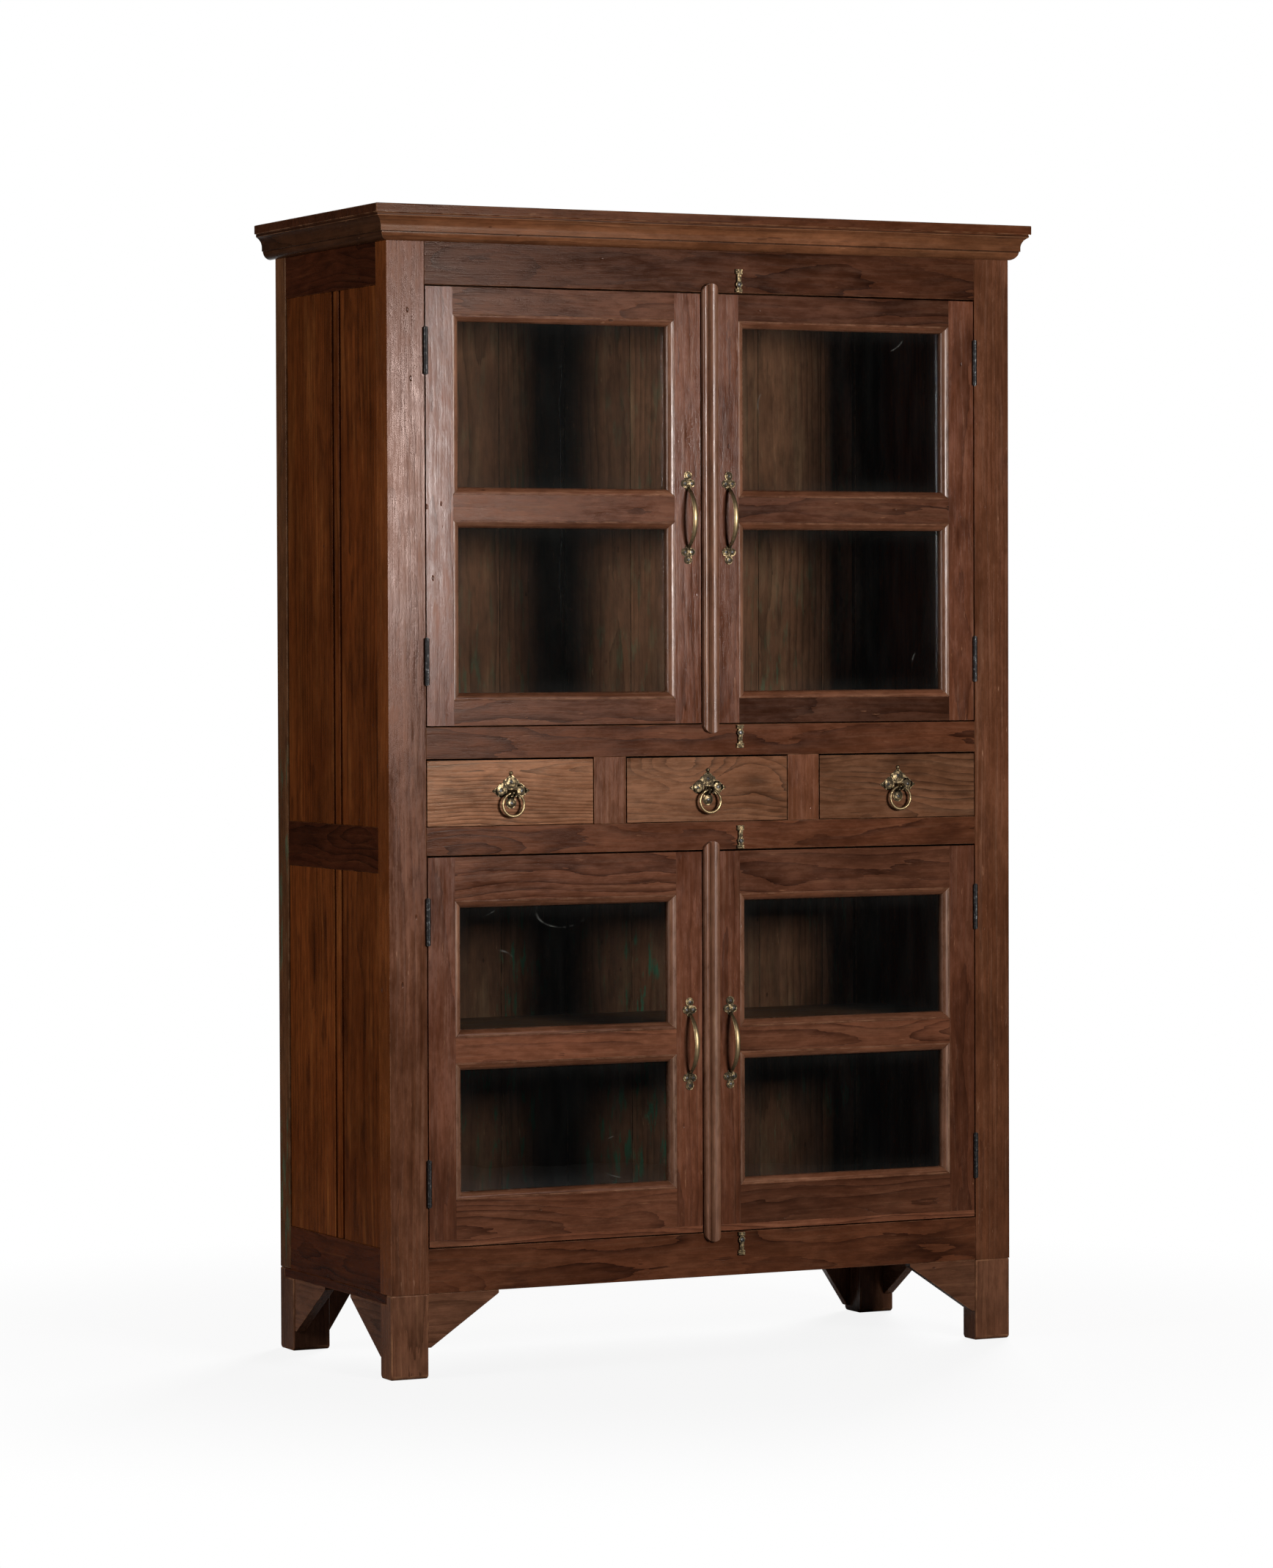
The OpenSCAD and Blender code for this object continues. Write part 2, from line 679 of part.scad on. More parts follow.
// Front and side lengths of the cornice meet on the mitre lines seen from above
module cornice() color(wood) translate([0, 0, cornice_foot]) {
    half = case_w / 2;
    long = case_w + 2 * fillet_out;
    intersection() {
        translate([-long / 2, front, 0]) rotate([90, 0, 90]) linear_extrude(long)
            mirror([1, 0]) moulding_section();
        linear_extrude(moulding_h) polygon([[-half, front], [half, front],
            [half + fillet_out, front - fillet_out], [-half - fillet_out, front - fillet_out]]);
    }
    both_sides() intersection() {
        translate([-half, back + top_lap_back, 0]) rotate([90, 0, 0])
            linear_extrude(case_d + top_lap_back + fillet_out) mirror([1, 0]) moulding_section();
        linear_extrude(moulding_h) polygon([[-half, front + joint_line],
            [-half, back + top_lap_back], [-half - fillet_out, back + top_lap_back],
            [-half - fillet_out, front - fillet_out + joint_line]]);
    }
}

// ---------------------------------------------------------------- inside the case

module post_clearance() both_sides() {
    block([-case_w / 2, front, 0], [-open_w / 2 + joint_fit, front + post_d + joint_fit, case_top]);
    block([-case_w / 2, back - post_d - joint_fit, 0], [-open_w / 2 + joint_fit, back, case_top]);
}

// Panel notched round the posts, from y to the back planks
module panel(half_w, y, top, thickness) difference() {
    block([-half_w, y, top - thickness], [half_w, plank_face, top]);
    post_clearance();
}

module floor_boards() color(inner_wood) {
    rail_half_w = case_w / 2 - side_rail_inset - rail_t;
    panel(rail_half_w, front + rail_t, lower_sill, floor_t);
    panel(rail_half_w, front + rail_t, drawer_sill, floor_t);
    panel(inner_half_w, front + rail_t, upper_sill, floor_t);
}

shelf_tops = [lower_sill + lower_shelf_up, upper_sill + upper_shelf_up];

module shelves() color(inner_wood) for (top = shelf_tops)
    panel(inner_half_w - joint_fit, front + post_d, top, shelf_t);

module shelf_bearers() color(inner_wood) both_sides() for (top = shelf_tops)
    block([-inner_half_w, front + post_d, top - shelf_t - bearer_h],
        [-inner_half_w + bearer_w, back - post_d, top - shelf_t]);

// Guides lie on the drawer bed, and the kickers over them keep an open drawer from tipping
runner_spans = [[drawer_sill, drawer_sill + guide_h], [drawer_head, upper_sill - floor_t]];

module drawer_runners() color(inner_wood) for (z = runner_spans) {
    for (bay = [1, 2])
        block([bay_x(bay) - divider_w, front + rail_t, z[0]], [bay_x(bay), plank_face, z[1]]);
    both_sides() block([-inner_half_w, front + post_d, z[0]], [-open_w / 2, back - post_d, z[1]]);
}

// ---------------------------------------------------------------- hinges

// Half of a butt hinge, pin on the Z axis, plate on the -X side of the middle, numbers are its knuckles
module plate_block(grow) block([-plate_gap / 2 - plate_t - grow, pin_out - grow, -grow],
    [-plate_gap / 2 + grow, pin_out + plate_d + grow, hinge_h + grow]);

module hinge_half(numbers, fit) difference() {
    union() {
        plate_block(0);
        for (k = numbers) translate([0, 0, k * knuckle_h + knuckle_gap / 2]) {
            cylinder(r = knuckle_r, h = knuckle_h - knuckle_gap);
            block([-plate_gap / 2 - plate_t, 0, 0], [-plate_gap / 2, pin_out, knuckle_h - knuckle_gap]);
        }
    }
    translate([0, 0, -cut_over]) cylinder(r = pin_r + fit, h = hinge_h + 2 * cut_over);
}

fixed_knuckles = [for (k = [0 : 2 : knuckle_count - 1]) k];
moving_knuckles = [for (k = [1 : 2 : knuckle_count - 1]) k];

module at_pins(hand, tier) mirrored_if(hand == 1) for (z = hinge_z(tier))
    translate([-pin_x, front - pin_out, z]) children();

module hinge_plates() color(iron) for (hand = [0, 1], tier = [0, 1])
    at_pins(hand, tier) hinge_half(fixed_knuckles, pin_fit_fixed);

module hinge_pins() color(iron) for (hand = [0, 1], tier = [0, 1])
    at_pins(hand, tier) translate([0, 0, -pin_crown])
        cylinder(r = pin_r, h = hinge_h + 2 * pin_crown);

module door_hinges(hand, tier) color(iron) at_pins(hand, tier)
    mirror([1, 0, 0]) hinge_half(moving_knuckles, pin_fit_moving);

// ---------------------------------------------------------------- doors

// Stile of a leaf; its lip for the glass reaches by lip[0] to the left or by lip[1] to the right
module leaf_stile(x, z, lip) {
    block([x[0], front, z[0]], [x[1], rebate_face, z[1]]);
    block([x[0] - lip[0], rebate_face, z[0]], [x[1] + lip[1], front + leaf_t, z[1]]);
}

// Rail between two stiles; its lip for the glass reaches down by lip[0] and up by lip[1]
module leaf_rail(x, z, lip) {
    inner = [x[0] + joint_line, x[1] - joint_line];
    deep = [inner[0] + rebate_w, inner[1] - rebate_w];
    block([inner[0], front, z[0]], [inner[1], rebate_face - joint_line, z[1]]);
    block([deep[0], front, z[0]], [deep[1], front + leaf_t, z[1]]);
    block([deep[0], rebate_face, z[0] - lip[0]], [deep[1], front + leaf_t, z[1] + lip[1]]);
    leaf_tenons(x, z, 0);
}

module leaf_tenons(x, z, grow) {
    mid = (front + rebate_face) / 2;
    block([x[0] - leaf_tenon_l - grow, mid - leaf_tenon_t / 2 - grow, z[0] + tenon_shoulder - grow],
        [x[1] + leaf_tenon_l + grow, mid + leaf_tenon_t / 2 + grow, z[1] - tenon_shoulder + grow]);
}

module door_frame(hand, tier) color(wood) {
    x = leaf_x(hand);
    z = leaf_z(tier);
    foot = z[0] + lipping(tier);
    px = pane_x(hand);
    pz = pane_z(tier);
    r = rebate_w;
    rails = [[foot, pz[0][0]], [pz[0][1], pz[1][0]], [pz[1][1], z[1]]];
    difference() {
        union() {
            leaf_stile([x[0], px[0]], [foot, z[1]], [0, r]);
            leaf_stile([px[1], x[1]], [foot, z[1]], [r, 0]);
        }
        at_pins(hand, tier) mirror([1, 0, 0]) plate_block(let_in);
        for (rail = rails) leaf_tenons(px, rail, joint_fit);
    }
    leaf_rail(px, rails[0], [0, r]);
    leaf_rail(px, rails[1], [r, r]);
    leaf_rail(px, rails[2], [r, 0]);
    if (lipping(tier) > 0) block([x[0], front, z[0]], [x[1], front + leaf_t, foot - joint_line]);
}

// Section of the glazing bead: x is the depth behind the face, y the width towards the glass
module bead_section() {
    depth = glass_face - front;
    round_r = bead_w - bead_flat;
    square([depth, bead_flat]);
    translate([round_r + bead_step, bead_flat]) intersection() {
        circle(round_r);
        translate([-round_r, 0]) square(round_r);
    }
    translate([round_r + bead_step, 0]) square([depth - round_r - bead_step, bead_w]);
}

module bead_mitres(length) {
    g = joint_line;
    polygon([[g, 0], [length - g, 0], [length - bead_w - g, bead_w], [bead_w + g, bead_w]]);
}

module bead_stick(length) intersection() {
    from_side(0, length) bead_section();
    from_front(0, glass_face - front) bead_mitres(length);
}

module bead_frame(x, z) {
    w = x[1] - x[0] - 2 * bead_fit;
    h = z[1] - z[0] - 2 * bead_fit;
    translate([(x[0] + x[1]) / 2, front, (z[0] + z[1]) / 2]) for (turn = [0 : 3]) {
        length = turn % 2 == 0 ? w : h;
        across = turn % 2 == 0 ? h : w;
        rotate([0, 90 * turn, 0]) translate([-length / 2, 0, -across / 2]) bead_stick(length);
    }
}

module door_beads(hand, tier) color(pale_wood) for (z = pane_z(tier)) bead_frame(pane_x(hand), z);

module door_glass(hand, tier) color(glass_tint) for (z = pane_z(tier)) {
    x = pane_x(hand);
    block([x[0] + glass_fit, glass_face, z[0] + glass_fit],
        [x[1] - glass_fit, glass_face + glass_t, z[1] - glass_fit]);
}

// Round-ended strip with a narrow reed beside a broad one, fixed to the face of the right leaf
module astragal(tier) color(wood) {
    z = leaf_z(tier);
    low = z[0] - leaf_gap_bottom - astragal_lap;
    high = z[1] + leaf_gap_top + astragal_lap;
    end_r = astragal_w / 2;
    broad_w = astragal_w - reed_w;
    reed_y = -astragal_t + reed_drop + reed_w / 2;
    difference() {
        intersection() {
            translate([meeting_x, front, low]) linear_extrude(high - low) {
                translate([0, -astragal_edge]) square([astragal_w, astragal_edge]);
                intersection() {
                    translate([0, -astragal_t]) square([astragal_w, astragal_t]);
                    union() {
                        translate([reed_w / 2, reed_y]) circle(reed_w / 2);
                        translate([0, reed_y]) square([reed_w, astragal_t]);
                        translate([reed_w + broad_w / 2, 0]) circle(broad_w / 2);
                    }
                }
            }
            from_front(front - astragal_t, astragal_t) {
                translate([meeting_x, low + end_r]) square([astragal_w, high - low - astragal_w]);
                for (end = [low + end_r, high - end_r]) translate([meeting_x + end_r, end]) circle(end_r);
            }
        }
        for (span = [[low - cut_over, z[0]], [z[1], high + cut_over]])
            block([meeting_x - cut_over, front - astragal_relief, span[0]],
                [meeting_x + astragal_w + cut_over, front + cut_over, span[1]]);
    }
}

// ---------------------------------------------------------------- door handles

// Trefoil plate, its long lobe upwards and its lower edge at z = 0
module trefoil() {
    top_r = trefoil_r + trefoil_swell;
    side = trefoil_r - trefoil_swell;
    lobe_z = trefoil_foot_r + trefoil_r;
    translate([0, trefoil_h - top_r]) circle(top_r);
    for (s = [-1, 1]) translate([s * side, lobe_z]) circle(trefoil_r);
    translate([-trefoil_r, lobe_z]) square([2 * trefoil_r, trefoil_h - trefoil_r - lobe_z]);
    translate([0, trefoil_foot_r]) circle(trefoil_foot_r);
}

// Solid through rings of points, with the same number of points in each ring
module loft(rings) {
    n = len(rings[0]);
    m = len(rings);
    points = [for (ring = rings, p = ring) p];
    sides = [for (i = [0 : m - 2], j = [0 : n - 1])
        [i * n + j, i * n + (j + 1) % n, (i + 1) * n + (j + 1) % n, (i + 1) * n + j]];
    first = [for (j = [n - 1 : -1 : 0]) j];
    last = [for (j = [0 : n - 1]) (m - 1) * n + j];
    polyhedron(points = points, faces = concat([first], sides, [last]), convexity = 4);
}

// The bow runs on an arc from plate to plate, wider and thicker towards its middle
bow_stations = 18;
bow_sides = 10;
bow_half = handle_h / 2 - trefoil_h + bow_seat;
bow_rise = handle_reach - bow_t / 2;
bow_r = (pow(bow_half, 2) + pow(bow_rise, 2)) / (2 * bow_rise);
bow_angle = asin(bow_half / bow_r);
function bow_ring(t) = let (
    a = t * bow_angle,
    swell = pow(cos(90 * t), bow_fullness),
    half_w = (bow_end_w + (bow_w - bow_end_w) * swell) / 2,
    half_t = (bow_end_t + (bow_t - bow_end_t) * swell) / 2)
    [for (j = [0 : bow_sides - 1]) let (
        b = 360 * j / bow_sides,
        r = bow_r + half_t * sin(b))
        [half_w * cos(b), bow_r - bow_rise - r * cos(a), r * sin(a)]];

module handle(hand, tier) color(brass) translate([handle_x(hand), front, handle_z(tier)]) {
    for (s = [0, 1]) mirror([0, 0, s]) {
        translate([0, 0, handle_h / 2 - trefoil_h]) from_front(-trefoil_t, trefoil_t) trefoil();
    }
    loft([for (i = [0 : bow_stations]) bow_ring((2 * i / bow_stations - 1) * bow_arc_share)]);
}

// ---------------------------------------------------------------- drawers

// Dovetails of one drawer side in Y and Z, from the back of the front board forwards
module tails(grow) for (i = [0 : tail_count - 1]) {
    mid = side_foot_z + (i + 0.5) * tail_pitch;
    tip = tail_w / 2 + grow;
    root = tip - tail_taper;
    root_y = front + drawer_front_t;
    tip_y = root_y - tail_l - grow;
    polygon([[root_y, mid - root], [tip_y, mid - tip], [tip_y, mid + tip], [root_y, mid + root]]);
}

module bottom_panel(x, grow) block(
    [x + drawer_side_gap + drawer_wall - groove_d - grow, front + drawer_front_t - groove_d - grow,
        side_foot_z + drawer_bottom_up - grow],
    [x + drawer_w - drawer_side_gap - drawer_wall + groove_d + grow, front + drawer_front_t + drawer_l,
        side_foot_z + drawer_bottom_up + drawer_bottom_t + grow]);

module drawer_front(bay) color(pale_wood) {
    x = bay_x(bay);
    left = x + drawer_side_gap;
    right = x + drawer_w - drawer_side_gap;
    difference() {
        block([left, front, drawer_bottom_z], [right, front + drawer_front_t, drawer_top_z]);
        from_side(left - cut_over, drawer_wall + cut_over + tail_fit) tails(tail_fit);
        from_side(right - drawer_wall - tail_fit, drawer_wall + cut_over + tail_fit) tails(tail_fit);
        bottom_panel(x, groove_fit);
    }
}

module drawer_box(bay) color(inner_wood) {
    x = bay_x(bay);
    left = x + drawer_side_gap;
    right = x + drawer_w - drawer_side_gap;
    y = front + drawer_front_t;
    top = side_foot_z + drawer_side_h;
    for (side = [left, right - drawer_wall]) difference() {
        union() {
            block([side, y, side_foot_z], [side + drawer_wall, y + drawer_l, top]);
            from_side(side, drawer_wall) tails(0);
        }
        bottom_panel(x, groove_fit);
    }
    block([left + drawer_wall + joint_line, y + drawer_l - drawer_wall,
            side_foot_z + drawer_bottom_up + drawer_bottom_t + groove_fit],
        [right - drawer_wall - joint_line, y + drawer_l, top]);
    bottom_panel(x, 0);
}

function bay_mid(bay) = bay_x(bay) + drawer_w / 2;

// Back plate of a ring pull, middle of the side lobes at the origin
module pull_outline() {
    translate([0, pull_top_up]) circle(pull_top_r);
    translate([0, pull_knob_up]) circle(pull_knob_r);
    root_x = pull_side_out + pull_point_root;
    translate([-pull_neck_w / 2, pull_top_up]) square([pull_neck_w, pull_knob_up - pull_top_up]);
    for (s = [0, 1]) mirror([s, 0]) {
        translate([pull_side_out, 0]) circle(pull_side_r);
        polygon([[root_x, pull_point_w / 2], [root_x, -pull_point_w / 2], [pull_point_out, 0]]);
    }
    translate([0, -pull_disc_down]) circle(pull_disc_r);
    translate([-pull_waist_w / 2, -pull_disc_down]) square([pull_waist_w, pull_disc_down]);
}

module drawer_pull(bay) color(brass) translate([bay_mid(bay), front, pull_z]) {
    claw_r = claw_bore_r + claw_wall;
    from_front(-pull_t, pull_t) pull_outline();
    for (x = [claw_in, -claw_out]) translate([x, -ring_out, -pivot_down]) difference() {
        union() {
            rotate([0, 90, 0]) cylinder(r = claw_r, h = claw_w);
            block([0, 0, -claw_r * claw_chin], [claw_w, ring_out - pull_t, claw_r]);
        }
        translate([-cut_over, 0, 0]) rotate([0, 90, 0])
            cylinder(r = claw_bore_r, h = claw_w + 2 * cut_over);
    }
}

module drawer_ring(bay) color(brass)
    translate([bay_mid(bay), front - ring_out, pivot_z + ring_rise - ring_mid_r]) rotate([90, 0, 0])
        rotate_extrude() translate([ring_mid_r, 0]) circle(ring_wire_r);

// ---------------------------------------------------------------- turn buttons

// Each button stands clear of its leaf, long end away from it; turned over, it laps the leaf
function button_up(row) = row % 2 == 1;
button_edges = [lower_sill, lower_head, upper_sill, upper_head];
function button_z(row) = button_edges[row]
    + (button_up(row) ? 1 : -1) * (button_short + button_edge_gap);

// Button with its screw at the origin and its long end upwards
module button_outline() {
    long = button_l - button_short;
    translate([-button_w / 2, long - button_long_end_h]) square([button_w, button_long_end_h]);
    translate([-button_w / 2, -button_short]) square([button_w, button_short_end_h]);
    translate([-button_waist / 2, -button_short]) square([button_waist, button_l]);
    circle(button_w / 2 - button_boss_inset);
}

module button_body() {
    long = button_l - button_short;
    difference() {
        union() {
            from_front(-button_t, button_t - button_gap) button_outline();
            for (z = [long - button_rib_in, -button_short + button_rib_in])
                block([-button_w / 2, -button_t - button_rib_up, z - button_rib_h / 2],
                    [button_w / 2, -button_t, z + button_rib_h / 2]);
        }
        translate([0, cut_over, 0]) rotate([90, 0, 0])
            cylinder(r = screw_r + screw_fit, h = button_t + button_rib_up + 2 * cut_over);
    }
}

module button_screw() {
    head_y = -button_t - screw_fit;
    rotate([90, 0, 0]) cylinder(r = screw_r, h = button_t + screw_fit);
    translate([0, head_y, 0]) difference() {
        rotate([90, 0, 0])
            cylinder(r1 = screw_head_r, r2 = screw_head_r * screw_head_taper, h = screw_head_h);
        block([-screw_head_r - cut_over, -screw_head_h - cut_over, -screw_slot_w / 2],
            [screw_head_r + cut_over, -screw_head_h * screw_slot_floor, screw_slot_w / 2]);
    }
}

module turn_button(row) translate([button_x, front, button_z(row)]) {
    color(brass) mirror([0, 0, button_up(row) ? 0 : 1]) button_body();
    color(steel) button_screw();
}

// ---------------------------------------------------------------- named sub-parts

module post_front_left() color(wood) front_post();
module post_front_right() color(wood) mirror([1, 0, 0]) front_post();
module post_rear_left() color(wood) rear_post();
module post_rear_right() color(wood) mirror([1, 0, 0]) rear_post();
module side_rails_left() color(dark_wood) side_rails();
module side_rails_right() color(dark_wood) mirror([1, 0, 0]) side_rails();
module side_boards_left() color(wood) side_boards();
module side_boards_right() color(wood) mirror([1, 0, 0]) side_boards();

module door_part(hand, tier, part) {
    if (part == "frame") door_frame(hand, tier);
    if (part == "beads") door_beads(hand, tier);
    if (part == "glass") door_glass(hand, tier);
    if (part == "handle") handle(hand, tier);
    if (part == "hinges") door_hinges(hand, tier);
}

module drawer_part(bay, part) {
    if (part == "front") drawer_front(bay);
    if (part == "box") drawer_box(bay);
    if (part == "pull") drawer_pull(bay);
    if (part == "ring") drawer_ring(bay);
}

post_front_left();
post_front_right();
post_rear_left();
post_rear_right();
foot_blocks();
corner_brackets();
front_rails();
drawer_dividers();
side_rails_left();
side_rails_right();
side_boards_left();
side_boards_right();
back_rails();
back_planks();
top_board();
cornice();
floor_boards();
shelves();
shelf_bearers();
drawer_runners();
hinge_plates();
hinge_pins();
for (tier = [0, 1]) {
    astragal(tier);
    for (hand = [0, 1], part = door_parts)
        door_part(hand, tier, part);
}
for (bay = [0 : len(bays) - 1], part = drawer_parts)
    drawer_part(bay, part);
for (row = [0 : len(button_rows) - 1])
    turn_button(row);
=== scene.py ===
"""Looks of a glazed display cabinet in old waxed hardwood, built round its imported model.

Every wooden member gets a worn copy with eased edges and a run of grain of its own. The brass fittings,
the screws and the window panes are modelled afresh, and the iron hinges get a rubbed finish.
Sizes in the dataclasses are millimetres, and every mesh is made in metres.
"""

import json
import logging
import math
import random
from collections.abc import Iterable, Iterator
from contextlib import contextmanager
from dataclasses import dataclass
from enum import Enum, StrEnum
from functools import reduce
from typing import ClassVar

import bpy
from mathutils import Matrix, Vector


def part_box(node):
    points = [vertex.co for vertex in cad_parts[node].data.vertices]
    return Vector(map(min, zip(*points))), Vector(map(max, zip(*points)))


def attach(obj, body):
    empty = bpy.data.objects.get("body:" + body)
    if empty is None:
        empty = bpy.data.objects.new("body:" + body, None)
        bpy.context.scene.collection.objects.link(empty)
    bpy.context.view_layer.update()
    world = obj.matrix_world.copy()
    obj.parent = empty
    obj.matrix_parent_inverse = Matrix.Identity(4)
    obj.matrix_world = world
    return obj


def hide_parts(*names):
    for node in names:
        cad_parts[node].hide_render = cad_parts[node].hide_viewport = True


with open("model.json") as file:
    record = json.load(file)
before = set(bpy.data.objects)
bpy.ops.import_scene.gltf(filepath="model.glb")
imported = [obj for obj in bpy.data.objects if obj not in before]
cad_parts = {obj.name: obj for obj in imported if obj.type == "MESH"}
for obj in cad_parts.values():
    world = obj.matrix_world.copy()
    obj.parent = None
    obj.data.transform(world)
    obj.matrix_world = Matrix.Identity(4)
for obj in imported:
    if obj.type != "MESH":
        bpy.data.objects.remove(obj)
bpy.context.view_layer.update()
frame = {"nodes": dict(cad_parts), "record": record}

MM = 0.001
FRONT = -0.217  # face of the posts and rails, in metres
SQUARE_ON = 0.8  # least share of its normal that makes a face look along an axis
BODIES = {node: body for body, nodes in frame["record"]["behaviour"]["bodies"].items() for node in nodes}
LOG = logging.getLogger("cabinet")

Object = bpy.types.Object
Material = bpy.types.Material
Socket = bpy.types.NodeSocket
Signal = Socket | float | tuple[float, ...]
Inputs = dict[str | int, Signal]
Point = tuple[float, float, float]


class Axis(Enum):
    """Direction that a turned or drilled shape lies along."""

    X = (0.0, math.pi / 2, 0.0)
    Y = (math.pi / 2, 0.0, 0.0)
    Z = (0.0, 0.0, 0.0)


class Hand(StrEnum):
    """Side of the case that a door hangs on."""

    LEFT = "left"
    RIGHT = "right"


class Tier(StrEnum):
    """Pair of doors, below or above the drawers."""

    LOWER = "lower"
    UPPER = "upper"


class Bay(StrEnum):
    """Place of a drawer in its row."""

    LEFT = "left"
    MIDDLE = "middle"
    RIGHT = "right"


# ---------------------------------------------------------------- finishes


class NodeSheet:
    """Short hand for laying out the nodes of one material."""

    def __init__(self, name: str, owner: bpy.types.World | None = None) -> None:
        """Starts an empty material, or empties the world that is given.

        Args:
            name: Name of the material.
            owner: World that the nodes belong to, if it isn't a material.
        """
        self.owner = owner or bpy.data.materials.new(name)
        self.owner.use_nodes = True
        self.tree = self.owner.node_tree
        self.tree.nodes.clear()

    def node(self, kind: str, inputs: Inputs | None = None, **settings: object) -> bpy.types.Node:
        """Adds one node.

        Args:
            kind: Type of the node, without the word that all types start with.
            inputs: Values or sockets for its inputs, by name or number. Colours go without alpha.
            settings: Properties of the node.

        Returns:
            The new node.
        """
        node = self.tree.nodes.new(f"ShaderNode{kind}")
        for name, value in settings.items():
            setattr(node, name, value)
        for key, value in (inputs or {}).items():
            socket = node.inputs[key]
            if isinstance(value, Socket):
                self.tree.links.new(value, socket)
            else:
                socket.default_value = (*value, 1.0) if socket.type == "RGBA" else value
        return node

    def math(self, operation: str, a: Signal, b: Signal = 0.0, clamp: bool = False) -> Socket:
        """Returns the result of a Math node on a and b."""
        return self.node("Math", {0: a, 1: b}, operation=operation, use_clamp=clamp).outputs[0]

    def times(self, *signals: Signal) -> Signal:
        """Returns the product of all the signals."""
        return reduce(lambda a, b: self.math("MULTIPLY", a, b), signals)

    def plus(self, *signals: Signal) -> Signal:
        """Returns the sum of all the signals."""
        return reduce(lambda a, b: self.math("ADD", a, b), signals)

    def off(self, value: Signal, mark: float) -> Socket:
        """Returns how far a value is from a mark, either way."""
        return self.math("ABSOLUTE", self.math("SUBTRACT", value, mark))

    def vector(self, operation: str, a: Signal, b: Signal = (0, 0, 0), output: str = "Vector") -> Socket:
        """Returns the result of a Vector Math node on a and b."""
        return self.node("VectorMath", {0: a, 1: b}, operation=operation).outputs[output]

    def stretch(self, vector: Signal, by: Point) -> Socket:
        """Returns vector with each axis multiplied."""
        return self.vector("MULTIPLY", vector, by)

    def part(self, vector: Signal, axis: str) -> Socket:
        """Returns one of the three numbers of a vector."""
        return self.node("SeparateXYZ", {0: vector}).outputs[axis]

    def blend(self, amount: Signal, low: Signal, high: Signal, mode: str = "MIX") -> Socket:
        """Returns the colour that Mix gives for low and high by amount."""
        return self.node("Mix", {0: amount, 6: low, 7: high}, data_type="RGBA", blend_type=mode).outputs[2]

    def fade(self, value: Signal, start: float, end: float, low: float = 0.0, high: float = 1.0) -> Socket:
        """Returns value carried smoothly from start to end onto low to high."""
        inputs = {0: value, 1: start, 2: end, 3: low, 4: high}
        return self.node("MapRange", inputs, interpolation_type="SMOOTHSTEP").outputs[0]

    def noise(self, vector: Signal, scale: float, detail: float = 2.0, roughness: float = 0.5) -> Socket:
        """Returns a noise."""
        inputs = {"Vector": vector, "Scale": scale, "Detail": detail, "Roughness": roughness}
        return self.node("TexNoise", inputs).outputs["Fac"]

    def drawn(self, vector: Signal, by: Point, detail: float = 2.0, roughness: float = 0.5) -> Socket:
        """Returns a noise with a scale for each axis, so that it can be drawn out along one."""
        return self.noise(self.stretch(vector, by), 1.0, detail, roughness)

    def cells(self, vector: Signal, by: Point) -> Socket:
        """Returns the distance to the nearest of scattered points, with a scale for each axis."""
        return self.node("TexVoronoi", {"Vector": self.stretch(vector, by), "Scale": 1.0}).outputs["Distance"]

    def value(self, name: str, output: str = "Fac") -> Socket:
        """Returns a value kept in the mesh."""
        return self.node("Attribute", attribute_name=name).outputs[output]

    def place(self) -> Socket:
        """Returns the Object coordinates."""
        return self.node("TexCoord").outputs["Object"]

    def bump(self, height: Signal, distance: float, strength: float, normal: Inputs | None = None) -> Socket:
        """Returns the normal bent by height, in metres of distance, over any other normal."""
        inputs = {"Height": height, "Distance": distance, "Strength": strength}
        return self.node("Bump", inputs | (normal or {})).outputs[0]

    def shader(self, kind: str, inputs: Inputs) -> Socket:
        """Returns a shader."""
        return self.node(kind, inputs).outputs[0]

    def mix(self, amount: Signal, low: Signal, high: Signal) -> Socket:
        """Returns two shaders mixed by amount."""
        return self.shader("MixShader", {0: amount, 1: low, 2: high})

    def finish(self, shader: Socket) -> Material:
        """Joins the shader to the output and returns the material."""
        self.node("OutputMaterial", {"Surface": shader})
        return self.owner

    def coat(self, colour: Signal, rough: Signal, normal: Signal, others: Inputs) -> Material:
        """Ends the sheet with one surface and returns the material."""
        inputs = {"Base Color": colour, "Roughness": rough, "Normal": normal}
        return self.finish(self.shader("BsdfPrincipled", inputs | others))


def toned(colour: Point, share: float) -> Point:
    """Returns the colour times share."""
    return tuple(channel * share for channel in colour)


